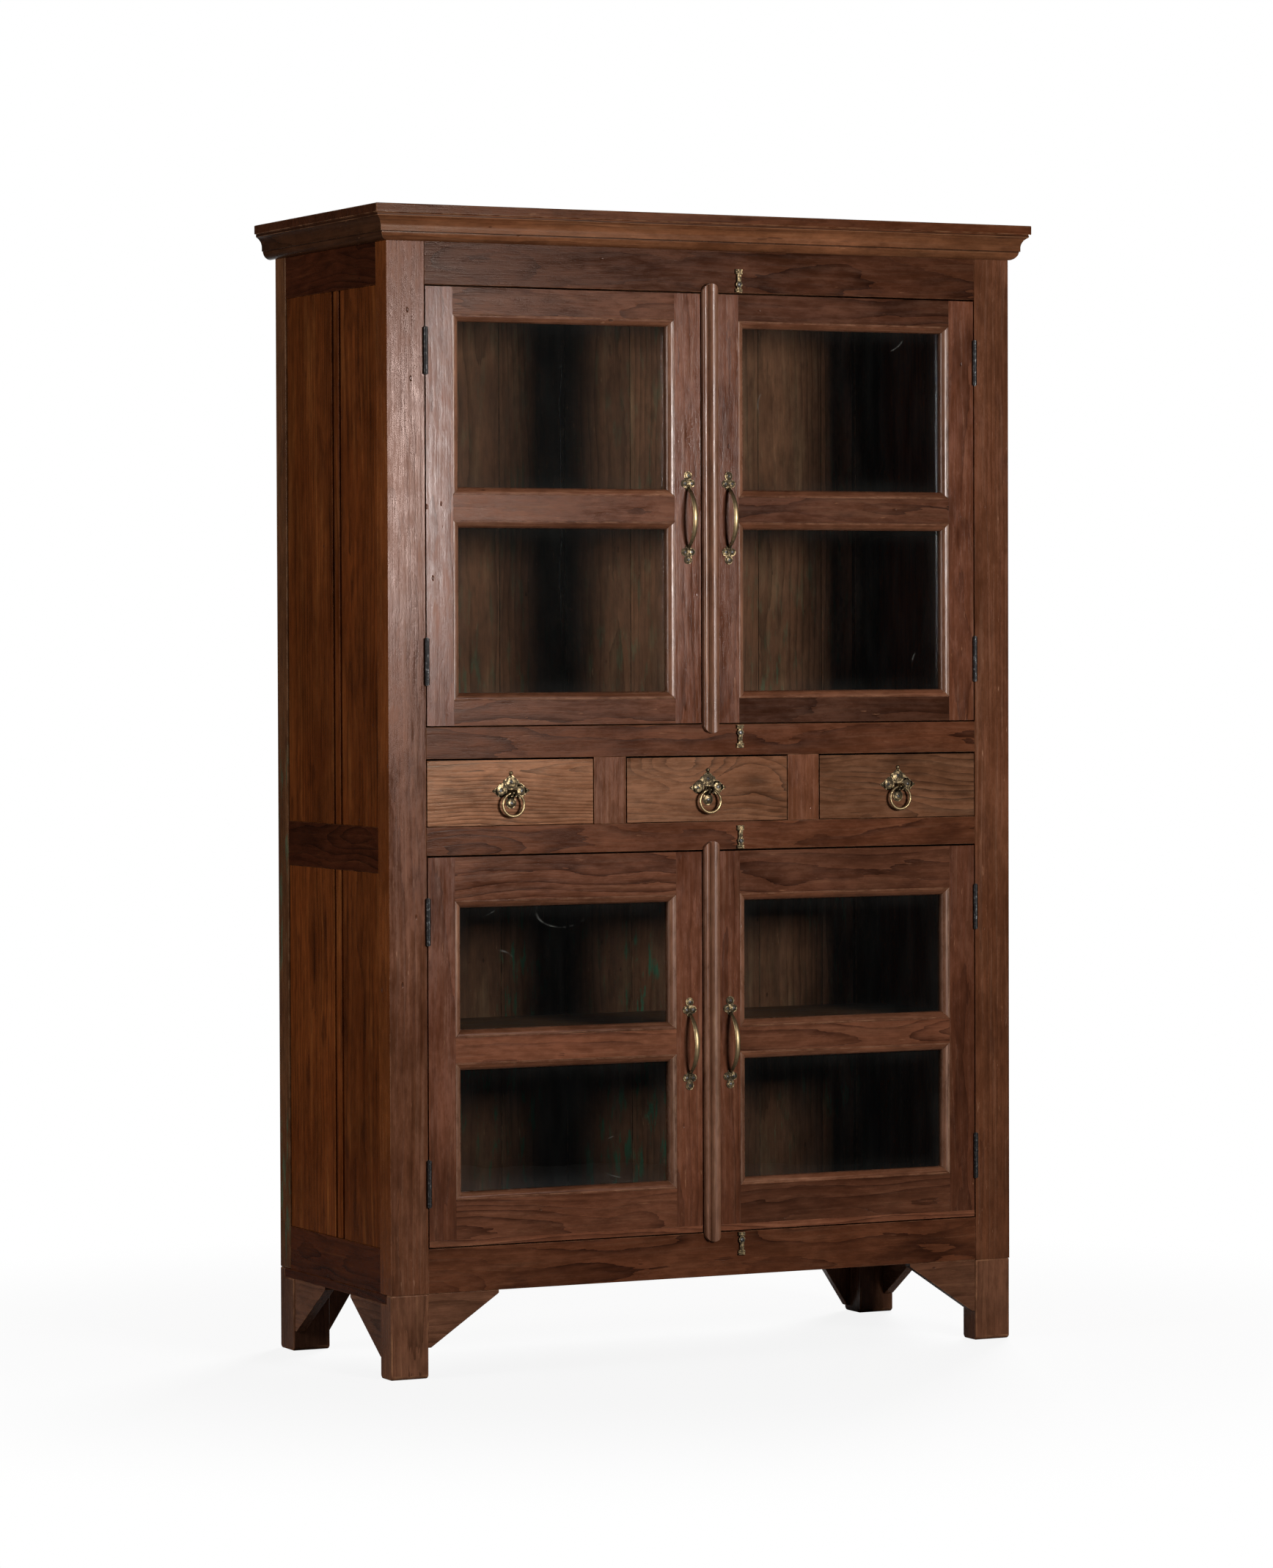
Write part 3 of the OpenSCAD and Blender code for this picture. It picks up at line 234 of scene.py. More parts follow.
@dataclass(frozen=True)
class WoodFinish:
    """Old waxed wood. It reads the grain, tone, arris and butt values that a worn copy carries.

    Attributes:
        name: Name of the material.
        body: Colour of the plain wood.
        dark: Colour of the ring lines and streaks.
        pale: Colour of sapwood and of rubbed edges.
        pitch: Distance between growth rings, in millimetres.
        figure: How far the rings wander, in millimetres.
        lines: Strength of the ring lines.
        streaks: Strength of the pale and dark streaks.
        knots: How far the rings bend round a knot, in millimetres.
        blotch: Strength of the patches in the patina.
        rough: Roughness of the waxed face.
        wear: How much of the edges is rubbed pale.
        scratch: Strength of the fine pale scratches.
        paint: Strength of old green paint left in traces.
        pits: Strength of the dark dents and nail holes.
        band: Width of the streaks, in millimetres.
        grime: Strength of the darkening towards the bottom.
        quirks: Heights of the lines of painted shade in the quirks of its mouldings, in millimetres.
        flank: Tint painted on the faces that look to the sides of the cabinet, for how the side light falls
            on them.
        fascia: Height from which a moulding is darker and redder, in millimetres.
        soot: Place across the cabinet of an upright band of painted shadow and its reach, in millimetres.
        thread: Place of an upright pale line of painted light through a split, its foot and its top, in
            millimetres.
        face: Depth of the face that carries the painted shadow and the line of painted light, in millimetres.
        gloss: Strength of the wax's shine.
        sheen: Colour that the fibres give to the shine.
    """

    name: str
    body: Point
    dark: Point
    pale: Point
    pitch: float = 7.0
    figure: float = 14.0
    lines: float = 0.5
    streaks: float = 0.25
    knots: float = 0.0
    blotch: float = 0.5
    rough: float = 0.22
    wear: float = 0.5
    scratch: float = 0.35
    paint: float = 0.0
    pits: float = 0.6
    band: float = 3.0
    grime: float = 0.0
    quirks: tuple[float, ...] = ()
    flank: Point = (1.0, 1.0, 1.0)
    fascia: float = 0.0
    soot: tuple[float, ...] = ()
    thread: tuple[float, ...] = ()
    face: float = 0.0
    gloss: float = 0.19
    sheen: Point = (1.0, 0.74, 0.66)

    def rings(self, s: NodeSheet, wandered: Signal, grain: Signal) -> tuple[Signal, Signal]:
        """Lays the growth rings, bent round knots.

        Args:
            s: Sheet of the material.
            wandered: Grain coordinates with their slow wander.
            grain: Grain coordinates.

        Returns:
            How far a point is through its ring, and the strength of its dark line.
        """
        field = wandered
        if self.knots:
            swirl = s.fade(s.cells(grain, (2.7, 8.5, 0.0)), 0.02, 0.42, self.knots * MM, 0.0)
            field = s.vector("ADD", wandered, s.node("CombineXYZ", {2: swirl}).outputs[0])
        radius = s.vector("LENGTH", s.stretch(field, (0.0, 1.0, 1.0)), output="Value")
        shake = s.drawn(wandered, (9.0, 70.0, 70.0), 3.0, 0.6)
        through = s.math("FRACT", s.plus(s.times(radius, 1 / (self.pitch * MM)), s.times(shake, 0.9)))
        keep = s.fade(s.drawn(grain, (4.0, 17.0, 17.0)), 0.36, 0.6, 0.08, 1.0)
        return through, s.times(s.math("POWER", through, 4.0), keep)

    def dress(self) -> Material:
        """Builds the material.

        Returns:
            The material, named after the finish.
        """
        s = NodeSheet(self.name)
        place, grain = s.place(), s.value("grain", "Vector")
        tone, arris, butt, flank = (s.value(name) for name in ("tone", "arris", "butt", "flank"))
        level = s.part(place, "Z")
        drift = s.vector("ADD", s.drawn(grain, (2.6, 6.0, 6.0)).node.outputs["Color"], (-0.5, -0.5, -0.5))
        reach = self.figure * 2 * MM
        wandered = s.vector("ADD", grain, s.stretch(drift, (0.0, reach, reach)))
        through, line = self.rings(s, wandered, grain)
        fine = 500 / self.band
        streak = s.drawn(wandered, (3.2, fine, fine), 4.0, 0.6)
        fibre = s.drawn(grain, (17.0, 800.0, 800.0), 3.0, 0.7)
        patch = s.drawn(wandered, (4.5, 12.0, 12.0), 5.0, 0.6)
        dapple = s.drawn(grain, (30.0, 95.0, 95.0), 4.0, 0.7)

        # the wood itself: rings, streaks and patches
        colour = s.blend(s.times(s.math("POWER", through, 1.5), self.lines * 0.35), self.body, self.dark)
        colour = s.blend(s.fade(streak, 0.52, 0.72, 0.0, self.streaks), colour, self.pale)
        colour = s.blend(s.fade(streak, 0.26, 0.46, self.streaks, 0.0), colour, self.dark)
        colour = s.blend(s.times(line, self.lines), colour, toned(self.dark, 0.6))
        red = s.fade(s.noise(place, 7.5, 3.0, 0.55), 0.4, 0.66, 0.0, self.blotch)
        colour = s.blend(red, colour, s.node("Gamma", {"Color": colour, "Gamma": 1.14}).outputs[0])
        smudge = s.fade(s.drawn(grain, (11.0, 30.0, 30.0), 3.0, 0.6), 0.56, 0.74, 0.0, self.blotch)
        colour = s.blend(smudge, colour, self.dark)
        # painted light: faces that look to the sides get a tint for how the side light falls on them
        colour = s.blend(flank, colour, self.flank, "MULTIPLY")
        if self.fascia:
            above = s.math("GREATER_THAN", level, self.fascia * MM)
            colour = s.blend(above, colour, (0.88, 0.7, 0.62), "MULTIPLY")
        if self.paint:
            trace = s.times(
                s.fade(s.drawn(place, (75.0, 75.0, 13.0), 5.0, 0.68), 0.53, 0.62),
                s.fade(s.drawn(place, (7.0, 7.0, 3.0)), 0.43, 0.57, 0.05, 1.0),
                s.fade(level, 0.75, 1.2, self.paint, self.paint * 0.2),
            )
            colour = s.blend(trace, colour, (0.045, 0.115, 0.068))

        # light and dark, painted shadow and a line of painted light
        shade = s.times(
            tone,
            s.fade(patch, 0.3, 0.7, 1 - self.blotch * 0.45, 1 + self.blotch * 0.5),
            s.fade(fibre, 0.28, 0.72, 0.88, 1.12),
            s.fade(dapple, 0.3, 0.7, 0.84, 1.18),
            s.math("SUBTRACT", 1.0, s.times(butt, 0.45)),
            s.fade(level, 0.2, 1.15, 1 - self.grime, 1.0),
        )
        if self.face:
            across = s.part(place, "X")
            inside = s.fade(s.part(place, "Y"), self.face * MM, (self.face + 2) * MM, 1.0, 0.0)
        # painted shadow: an upright dark band on the back planks, where the meeting stiles' shadow falls
        if self.soot:
            centre, half = (value * MM for value in self.soot)
            tarnish_and_shadow = s.times(s.fade(s.off(across, centre), half * 0.12, half, 0.88, 0.0), inside)
            shade = s.times(shade, s.math("SUBTRACT", 1.0, tarnish_and_shadow))
        grey = s.node("CombineColor", dict.fromkeys(range(3), shade)).outputs[0]
        colour = s.blend(1.0, colour, grey, "MULTIPLY")
        # painted light: a pale upright line, as if light shone through a split between the planks
        if self.thread:
            line_x, foot, head = (value * MM for value in self.thread)
            sway = s.fade(s.drawn(place, (0.0, 0.0, 4.0), 3.0), 0.3, 0.7, -0.006, 0.006)
            split_light = s.times(
                s.fade(s.off(s.plus(across, sway), line_x), 0.0004, 0.0012, 0.9, 0.0),
                s.fade(level, foot, foot + 0.1),
                s.times(inside, s.fade(level, head - 0.1, head, 1.0, 0.0)),
            )
            colour = s.blend(split_light, colour, (0.5, 0.52, 0.55))

        # scratches, rubbed edges, dents and painted shade in the quirks
        nick = s.fade(s.drawn(grain, (30.0, 210.0, 210.0), 3.0, 0.6), 0.67, 0.74)
        nick = s.times(nick, s.fade(patch, 0.42, 0.56, 0.0, self.scratch))
        colour = s.blend(nick, colour, toned(self.pale, 1.5))
        rub = s.times(arris, s.fade(s.noise(place, 46.0, 3.0), 0.4, 0.62, 0.08, self.wear))
        colour = s.blend(rub, colour, toned(self.pale, 1.15))
        dent = s.fade(s.cells(grain, (20.0, 46.0, 46.0)), 0.04, 0.1, 1.0, 0.0)
        pit = s.times(dent, s.fade(s.noise(place, 15.0, 1.0), 0.55, 0.64))
        colour = s.blend(s.times(pit, self.pits), colour, toned(self.dark, 0.15))
        # painted shade: dark lines where shade falls in the quirks of the moulding
        for quirk in self.quirks:
            dust_and_shade = s.fade(s.off(level, quirk * MM), 0.0004, 0.0015, 0.8, 0.0)
            colour = s.blend(dust_and_shade, colour, toned(self.dark, 0.4))

        # the waxed face
        rough = s.plus(
            s.fade(patch, 0.25, 0.75, self.rough - 0.05, self.rough + 0.07),
            s.fade(streak, 0.3, 0.7, -0.04, 0.06),
            s.fade(dapple, 0.32, 0.68, -0.035, 0.075),
        )
        height = s.plus(s.times(streak, 0.45), s.times(fibre, 0.3), s.times(dapple, 0.55))
        height = s.math("SUBTRACT", height, s.times(line, 0.25))
        height = s.math("SUBTRACT", height, s.times(pit, 1.6))
        waves = s.bump(s.drawn(grain, (4.0, 20.0, 20.0)), 0.0018, 0.4)
        normal = s.bump(height, 0.0006, 0.6, {"Normal": waves})
        return s.coat(colour, rough, normal, {"Specular IOR Level": self.gloss, "Specular Tint": self.sheen})


@dataclass(frozen=True)
class BrassFinish:
    """Aged cast brass: brown in the hollows, bright where hands rub it.

    Attributes:
        name: Name of the material.
        bright: Colour of the rubbed metal.
        tarnish: Colour of the tarnish.
        cover: Share of the metal under tarnish.
        rough: Roughness of the rubbed metal.
    """

    name: str
    bright: Point
    tarnish: Point
    cover: float = 0.6
    rough: float = 0.3

    def dress(self) -> Material:
        """Builds the nodes of the aged brass.

        Returns:
            The material.
        """
        s = NodeSheet(self.name)
        place = s.place()
        cloud, speck = s.noise(place, 190.0, 4.0, 0.6), s.noise(place, 1400.0)
        tarnish_and_shadow = s.fade(cloud, 0.62 - self.cover * 0.4, 0.86 - self.cover * 0.4)
        tarnish_and_shadow = s.math("SUBTRACT", tarnish_and_shadow, s.times(s.value("arris"), 0.35), True)
        tarnish_and_shadow = s.math("SUBTRACT", tarnish_and_shadow, s.times(s.value("rubbed"), 0.9), True)
        colour = s.blend(tarnish_and_shadow, self.bright, self.tarnish)
        colour = s.blend(s.fade(speck, 0.6, 0.75, 0.0, 0.5), colour, toned(self.tarnish, 0.4))
        rough = s.plus(s.times(tarnish_and_shadow, 0.15), s.fade(cloud, 0.3, 0.7, self.rough - 0.06, self.rough + 0.08))
        normal = s.bump(s.plus(cloud, s.times(speck, 0.3)), 0.0003, 0.4)
        return s.coat(colour, rough, normal, {"Metallic": 1.0})


@dataclass(frozen=True)
class IronFinish:
    """Dark iron, oiled and a little rusty, with grey rubbed edges.

    Attributes:
        name: Name of the material.
        iron: Colour of the dark skin.
        rubbed: Colour of the worn metal.
        rust: Colour of the rust.
        rough: Roughness of the worn metal.
    """

    name: str
    iron: Point
    rubbed: Point
    rust: Point
    rough: float = 0.42

    def dress(self) -> Material:
        """Builds the nodes of the worn iron.

        Returns:
            The material.
        """
        s = NodeSheet(self.name)
        place = s.place()
        cloud = s.noise(place, 210.0, 4.0, 0.65)
        bare = s.math("ADD", s.fade(cloud, 0.52, 0.66, 0.0, 0.7), s.times(s.value("arris"), 0.5), True)
        colour = s.blend(bare, self.iron, self.rubbed)
        colour = s.blend(s.fade(s.noise(place, 420.0, 3.0), 0.56, 0.7, 0.0, 0.6), colour, self.rust)
        rough = s.fade(cloud, 0.3, 0.7, self.rough + 0.18, self.rough)
        return s.coat(colour, rough, s.bump(cloud, 0.0004, 0.5), {"Metallic": 0.85})


@dataclass(frozen=True)
class OldGlass:
    """Thin old window glass with dust towards its edges.

    Attributes:
        name: Name of the material.
        tint: Colour that the glass gives to what is behind it.
        dust: Colour of the dust.
        haze: Share of dust in the middle of a pane.
        rim_haze: Share of dust along the rebate.
        bloom: Strength of the soft glare that dust gives beside a lamp.
    """

    name: str
    tint: Point
    dust: Point
    haze: float = 0.0022
    rim_haze: float = 0.014
    bloom: float = 0.00004

    def dress(self) -> Material:
        """Builds the nodes of the old glass.

        Returns:
            The material.
        """
        s = NodeSheet(self.name)
        place = s.place()
        cloud = s.noise(place, 16.0, 4.0, 0.6)
        dust_and_shade = s.times(s.value("rim"), s.fade(cloud, 0.3, 0.7, 0.3, 1.0), self.rim_haze)
        film = s.times(s.fade(s.drawn(place, (60.0, 60.0, 9.0), 3.0), 0.35, 0.75, 0.2, 1.6), self.haze)
        wipe = s.off(s.cells(place, (4.0, 0.0, 7.0)), 0.34)
        line = s.times(s.fade(wipe, 0.0, 0.006, 0.1, 0.0), s.fade(cloud, 0.58, 0.66))
        cover = s.math("ADD", s.plus(dust_and_shade, film), line, True)
        pure = {"Base Color": self.tint, "Roughness": 0.0, "IOR": 1.5, "Transmission Weight": 1.0}
        bloom = s.shader("BsdfGlossy", {"Color": (1.0, 1.0, 1.0), "Roughness": 0.15})
        glass = s.mix(self.bloom, s.shader("BsdfPrincipled", pure), bloom)
        dusty = s.mix(cover, glass, s.shader("BsdfDiffuse", {"Color": self.dust}))
        clear = s.shader("BsdfTransparent", {"Color": (0.86, 0.9, 0.87)})
        rays = s.node("LightPath").outputs
        return s.finish(s.mix(rays["Is Shadow Ray"], s.mix(rays["Is Diffuse Ray"], dusty, clear), clear))


FINISHES: dict[str, Material] = {
    finish.name: finish.dress()
    for finish in (
        WoodFinish(
            "post_wood", (0.122, 0.043, 0.019), (0.055, 0.018, 0.009), (0.24, 0.12, 0.07),
            pitch=6.0, figure=9.0, lines=0.35, streaks=0.3,
            rough=0.2, scratch=0.7, flank=(1.3, 1.0, 0.5),
        ),
        WoodFinish(
            "rail_wood", (0.098, 0.032, 0.014), (0.034, 0.01, 0.005), (0.19, 0.085, 0.044),
            pitch=8.0, figure=24.0, lines=0.8, streaks=0.2, knots=14.0,
            gloss=0.1, sheen=(1.0, 0.75, 0.64),
        ),
        WoodFinish(
            "door_wood", (0.124, 0.041, 0.019), (0.046, 0.014, 0.007), (0.24, 0.11, 0.056),
            pitch=8.0, figure=18.0, lines=0.5, streaks=0.25,
            rough=0.2, scratch=0.6, gloss=0.21, sheen=(1.0, 0.88, 0.84),
        ),
        WoodFinish(
            "door_rail_wood", (0.128, 0.046, 0.023), (0.046, 0.014, 0.007), (0.24, 0.11, 0.056),
            pitch=8.0, figure=22.0, lines=0.8, streaks=0.2, knots=14.0,
            gloss=0.11, sheen=(1.0, 0.75, 0.64),
        ),
        WoodFinish(
            "bead_wood", (0.178, 0.078, 0.043), (0.085, 0.032, 0.016), (0.37, 0.21, 0.125),
            pitch=5.0, figure=6.0, lines=0.35, streaks=0.4,
            rough=0.27, wear=0.6, gloss=0.5, sheen=(1.0, 0.9, 0.86),
        ),
        WoodFinish(
            "bead_rail_wood", (0.138, 0.053, 0.027), (0.06, 0.022, 0.011), (0.3, 0.15, 0.085),
            pitch=5.0, figure=6.0, lines=0.35, streaks=0.4,
            wear=0.8, gloss=0.11,
        ),
        WoodFinish(
            "drawer_wood", (0.174, 0.071, 0.034), (0.04, 0.015, 0.007), (0.27, 0.14, 0.075),
            pitch=6.0, figure=32.0, lines=0.75, streaks=0.15, knots=32.0,
            rough=0.22, scratch=0.15, gloss=0.16, sheen=(1.0, 0.8, 0.6),
        ),
        WoodFinish(
            "cornice_wood", (0.158, 0.059, 0.025), (0.05, 0.017, 0.008), (0.27, 0.13, 0.065),
            pitch=6.0, figure=9.0, lines=0.5, streaks=0.3,
            rough=0.26, quirks=(1734.0, 1709.6), fascia=1734.5, gloss=0.1, sheen=(1.0, 0.75, 0.6),
        ),
        WoodFinish(
            "side_wood", (0.122, 0.031, 0.0065), (0.026, 0.006, 0.002), (0.2, 0.065, 0.016),
            pitch=9.0, figure=14.0, lines=0.5, streaks=0.7, knots=6.0,
            rough=0.3, wear=0.7, band=9.0, gloss=0.07,
        ),
        WoodFinish(
            "side_rail_wood", (0.062, 0.0155, 0.0055), (0.02, 0.005, 0.002), (0.11, 0.035, 0.012),
            pitch=7.0, figure=26.0, lines=0.7, streaks=0.4, knots=16.0,
            rough=0.3, gloss=0.07,
        ),
        WoodFinish(
            "foot_wood", (0.15, 0.062, 0.033), (0.05, 0.018, 0.008), (0.24, 0.11, 0.055),
            pitch=7.0, figure=14.0, lines=0.5, streaks=0.35, knots=6.0,
            wear=0.8, gloss=0.1,
        ),
        WoodFinish(
            "inner_wood", (0.1, 0.046, 0.022), (0.04, 0.018, 0.009), (0.17, 0.1, 0.055),
            pitch=7.0, figure=14.0, lines=0.4, streaks=0.4,
            rough=0.5, gloss=0.04,
        ),
        WoodFinish(
            "plank_wood", (0.142, 0.06, 0.034), (0.035, 0.017, 0.009), (0.21, 0.12, 0.07),
            pitch=9.0, figure=12.0, lines=0.5, streaks=0.5, knots=4.0,
            rough=0.45, paint=1.0, band=14.0, grime=0.6, soot=(-57.0, 80.0), thread=(-57.0, 1090.0, 1560.0),
            face=186.0, gloss=0.03,
        ),
        WoodFinish(
            "rear_post_wood", (0.11, 0.043, 0.017), (0.045, 0.016, 0.008), (0.2, 0.1, 0.05),
            pitch=5.0, figure=7.0, lines=0.3, streaks=0.3,
            paint=0.5, gloss=0.1,
        ),
        BrassFinish("aged_brass", (0.5, 0.36, 0.19), (0.066, 0.049, 0.03), cover=0.8, rough=0.42),
        BrassFinish("screw_steel", (0.2, 0.19, 0.18), (0.05, 0.045, 0.042), cover=0.6, rough=0.45),
        IronFinish("hinge_iron", (0.03, 0.029, 0.029), (0.22, 0.22, 0.22), (0.06, 0.032, 0.02)),
        OldGlass("window_glass", (0.93, 0.96, 0.94), (0.38, 0.37, 0.34)),
    )
}


# ---------------------------------------------------------------- bench


class Bench:
    """Hand tools for shaping pieces, each on the one object that it is given."""

    @staticmethod
    def only(piece: Object) -> None:
        """Selects one object and makes it active.

        Args:
            piece: Object to select.
        """
        bpy.ops.object.select_all(action="DESELECT")
        piece.select_set(True)
        bpy.context.view_layer.objects.active = piece

    @classmethod
    def settle(cls, piece: Object) -> Object:
        """Moves an object's place, turn and scale into its mesh.

        Args:
            piece: Object to settle.

        Returns:
            The object.
        """
        cls.only(piece)
        bpy.ops.object.transform_apply(location=True, rotation=True, scale=True)
        return piece

    @classmethod
    def stock(cls, kind: str, scale: Point = (1.0, 1.0, 1.0), **settings: object) -> Object:
        """Takes one of the basic shapes.

        Args:
            kind: Word for the shape in the name of its tool.
            scale: Stretch along its own axes.
            settings: What the tool is told.

        Returns:
            The new object, its place, turn and scale in its mesh.
        """
        bpy.ops.object.select_all(action="DESELECT")
        getattr(bpy.ops.mesh, f"primitive_{kind}_add")(**settings)
        piece = bpy.context.object
        piece.scale = scale
        return cls.settle(piece)

    @classmethod
    def smooth(cls, piece: Object, angle: float = 0.0) -> Object:
        """Shades a piece smooth.

        Args:
            piece: Object to shade.
            angle: Turn in degrees from which edges stay sharp, or 0 for none.

        Returns:
            The piece.
        """
        cls.only(piece)
        if angle:
            bpy.ops.object.shade_smooth_by_angle(angle=math.radians(angle))
        else:
            bpy.ops.object.shade_smooth()
        return piece

    @classmethod
    def work(cls, piece: Object, kind: str, **settings: object) -> Object:
        """Adds one modifier and applies it.

        Args:
            piece: Object to change.
            kind: Type of the modifier.
            settings: Properties of the modifier.

        Returns:
            The piece.
        """
        cls.only(piece)
        tool = piece.modifiers.new(kind.lower(), kind)
        for name, value in settings.items():
            setattr(tool, name, value)
        bpy.ops.object.modifier_apply(modifier=tool.name)
        return piece

    @classmethod
    @contextmanager
    def opened(cls, piece: Object) -> Iterator[None]:
        """Opens the mesh of a piece for hand work, all of it selected.

        Args:
            piece: Object to open.

        Yields:
            Nothing. The mesh is closed again afterwards.
        """
        cls.only(piece)
        bpy.ops.object.mode_set(mode="EDIT")
        bpy.ops.mesh.select_all(action="SELECT")
        yield
        bpy.ops.object.mode_set(mode="OBJECT")

    @classmethod
    def rod(
        cls, radius: float, length: float, at: Point, axis: Axis = Axis.Y, sides: int = 32,
        tip: float | None = None,
    ) -> Object:
        """Makes a round rod or a cone's stump, centred at a point.

        Args:
            radius: Radius at the start of the axis, in millimetres.
            length: Length, in millimetres.
            at: Its middle, in millimetres.
            axis: Direction that it lies along.
            sides: Number of sides.
            tip: Radius at the other end, if it tapers.

        Returns:
            The new object.
        """
        return cls.stock(
            "cone", vertices=sides, radius1=radius * MM, radius2=(radius if tip is None else tip) * MM,
            depth=length * MM, location=Vector(at) * MM, rotation=axis.value,
        )

    @classmethod
    def block(cls, low: Point, high: Point) -> Object:
        """Makes a block between two corners in millimetres and returns it."""
        low, high = Vector(low), Vector(high)
        return cls.stock("cube", (high - low) * MM, size=1.0, location=(low + high) * 0.5 * MM)

    @classmethod
    def dome(cls, radius: float, rise: float, at: Point) -> Object:
        """Makes a flattened ball that rises towards -Y.

        Args:
            radius: Radius in X and Z, in millimetres.
            rise: Half its thickness, in millimetres.
            at: Its middle, in millimetres.

        Returns:
            The new object.
        """
        return cls.smooth(cls.stock(
            "uv_sphere", (radius, radius, rise), segments=28, ring_count=12, radius=MM,
            location=Vector(at) * MM, rotation=Axis.Y.value,
        ))

    @classmethod
    def boolean(cls, piece: Object, others: Iterable[Object], operation: str) -> Object:
        """Joins others to the piece or cuts them from it, and removes them.

        Args:
            piece: The object that is kept.
            others: Closed objects.
            operation: UNION or DIFFERENCE.

        Returns:
            The piece.
        """
        for other in others:
            cls.work(piece, "BOOLEAN", operation=operation, solver="EXACT", object=other)
            bpy.data.objects.remove(other)
        return piece

    @classmethod
    def ease(cls, piece: Object, width: float, segments: int = 2, angle: float = 30.0) -> Object:
        """Rounds the edges and marks what they leave with the arris value.

        Args:
            piece: Object with clean edges.
            width: Width of the rounding, in millimetres.
            segments: Steps across it.
            angle: Least turn between two faces that counts as an edge, in degrees.

        Returns:
            The piece.
        """
        cls.smooth(piece)
        while len(piece.data.materials) < 2:
            piece.data.materials.append(None)
        for face in piece.data.polygons:
            face.material_index = 0
        cls.work(
            piece, "BEVEL", width=width * MM, segments=segments, limit_method="ANGLE",
            angle_limit=math.radians(angle), harden_normals=True, material=1,
        )
        arris = piece.data.attributes.new("arris", "FLOAT", "FACE")
        for face in piece.data.polygons:
            arris.data[face.index].value = float(face.material_index)
            face.material_index = 0
        return piece

    @classmethod
    def join(cls, pieces: list[Object], name: str) -> Object:
        """Makes one object of several and names it.

        Args:
            pieces: Objects with their place in their meshes.
            name: Name of the result.

        Returns:
            The joined object.
        """
        bpy.ops.object.select_all(action="DESELECT")
        for piece in pieces:
            piece.select_set(True)
        bpy.context.view_layer.objects.active = pieces[0]
        if len(pieces) > 1:
            bpy.ops.object.join()
        pieces[0].name = name
        pieces[0].data.name = name
        return pieces[0]

    @classmethod
    def twin(cls, piece: Object, matrix: Matrix) -> Object:
        """Copies a piece with its own mesh.

        Args:
            piece: Object to copy.
            matrix: Where the copy goes, from where the piece is.

        Returns:
            The copy, its normals put right if the matrix mirrors it.
        """
        copy = bpy.data.objects.new(piece.name, piece.data.copy())
        bpy.context.scene.collection.objects.link(copy)
        copy.data.transform(matrix)
        if matrix.determinant() < 0:
            copy.data.flip_normals()
        return copy

    @staticmethod
    def paint(piece: Object, finish: str) -> Object:
        """Gives the whole piece one finish.

        Args:
            piece: Object to paint.
            finish: Name of the finish.

        Returns:
            The piece.
        """
        piece.data.materials.clear()
        piece.data.materials.append(FINISHES[finish])
        return piece

    @staticmethod
    def hand_over(piece: Object, body: str, nodes: Iterable[str], slot: str) -> None:
        """Fixes a finished piece to its body.

        Args:
            piece: Finished object.
            body: Body that carries it.
            nodes: CAD nodes that it stands for.
            slot: Material slot of the record; not used.
        """
        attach(piece, body)
        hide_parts(*nodes)
        LOG.info("%s: %d faces on %s", piece.name, len(piece.data.polygons), body)


# ---------------------------------------------------------------- wood and iron


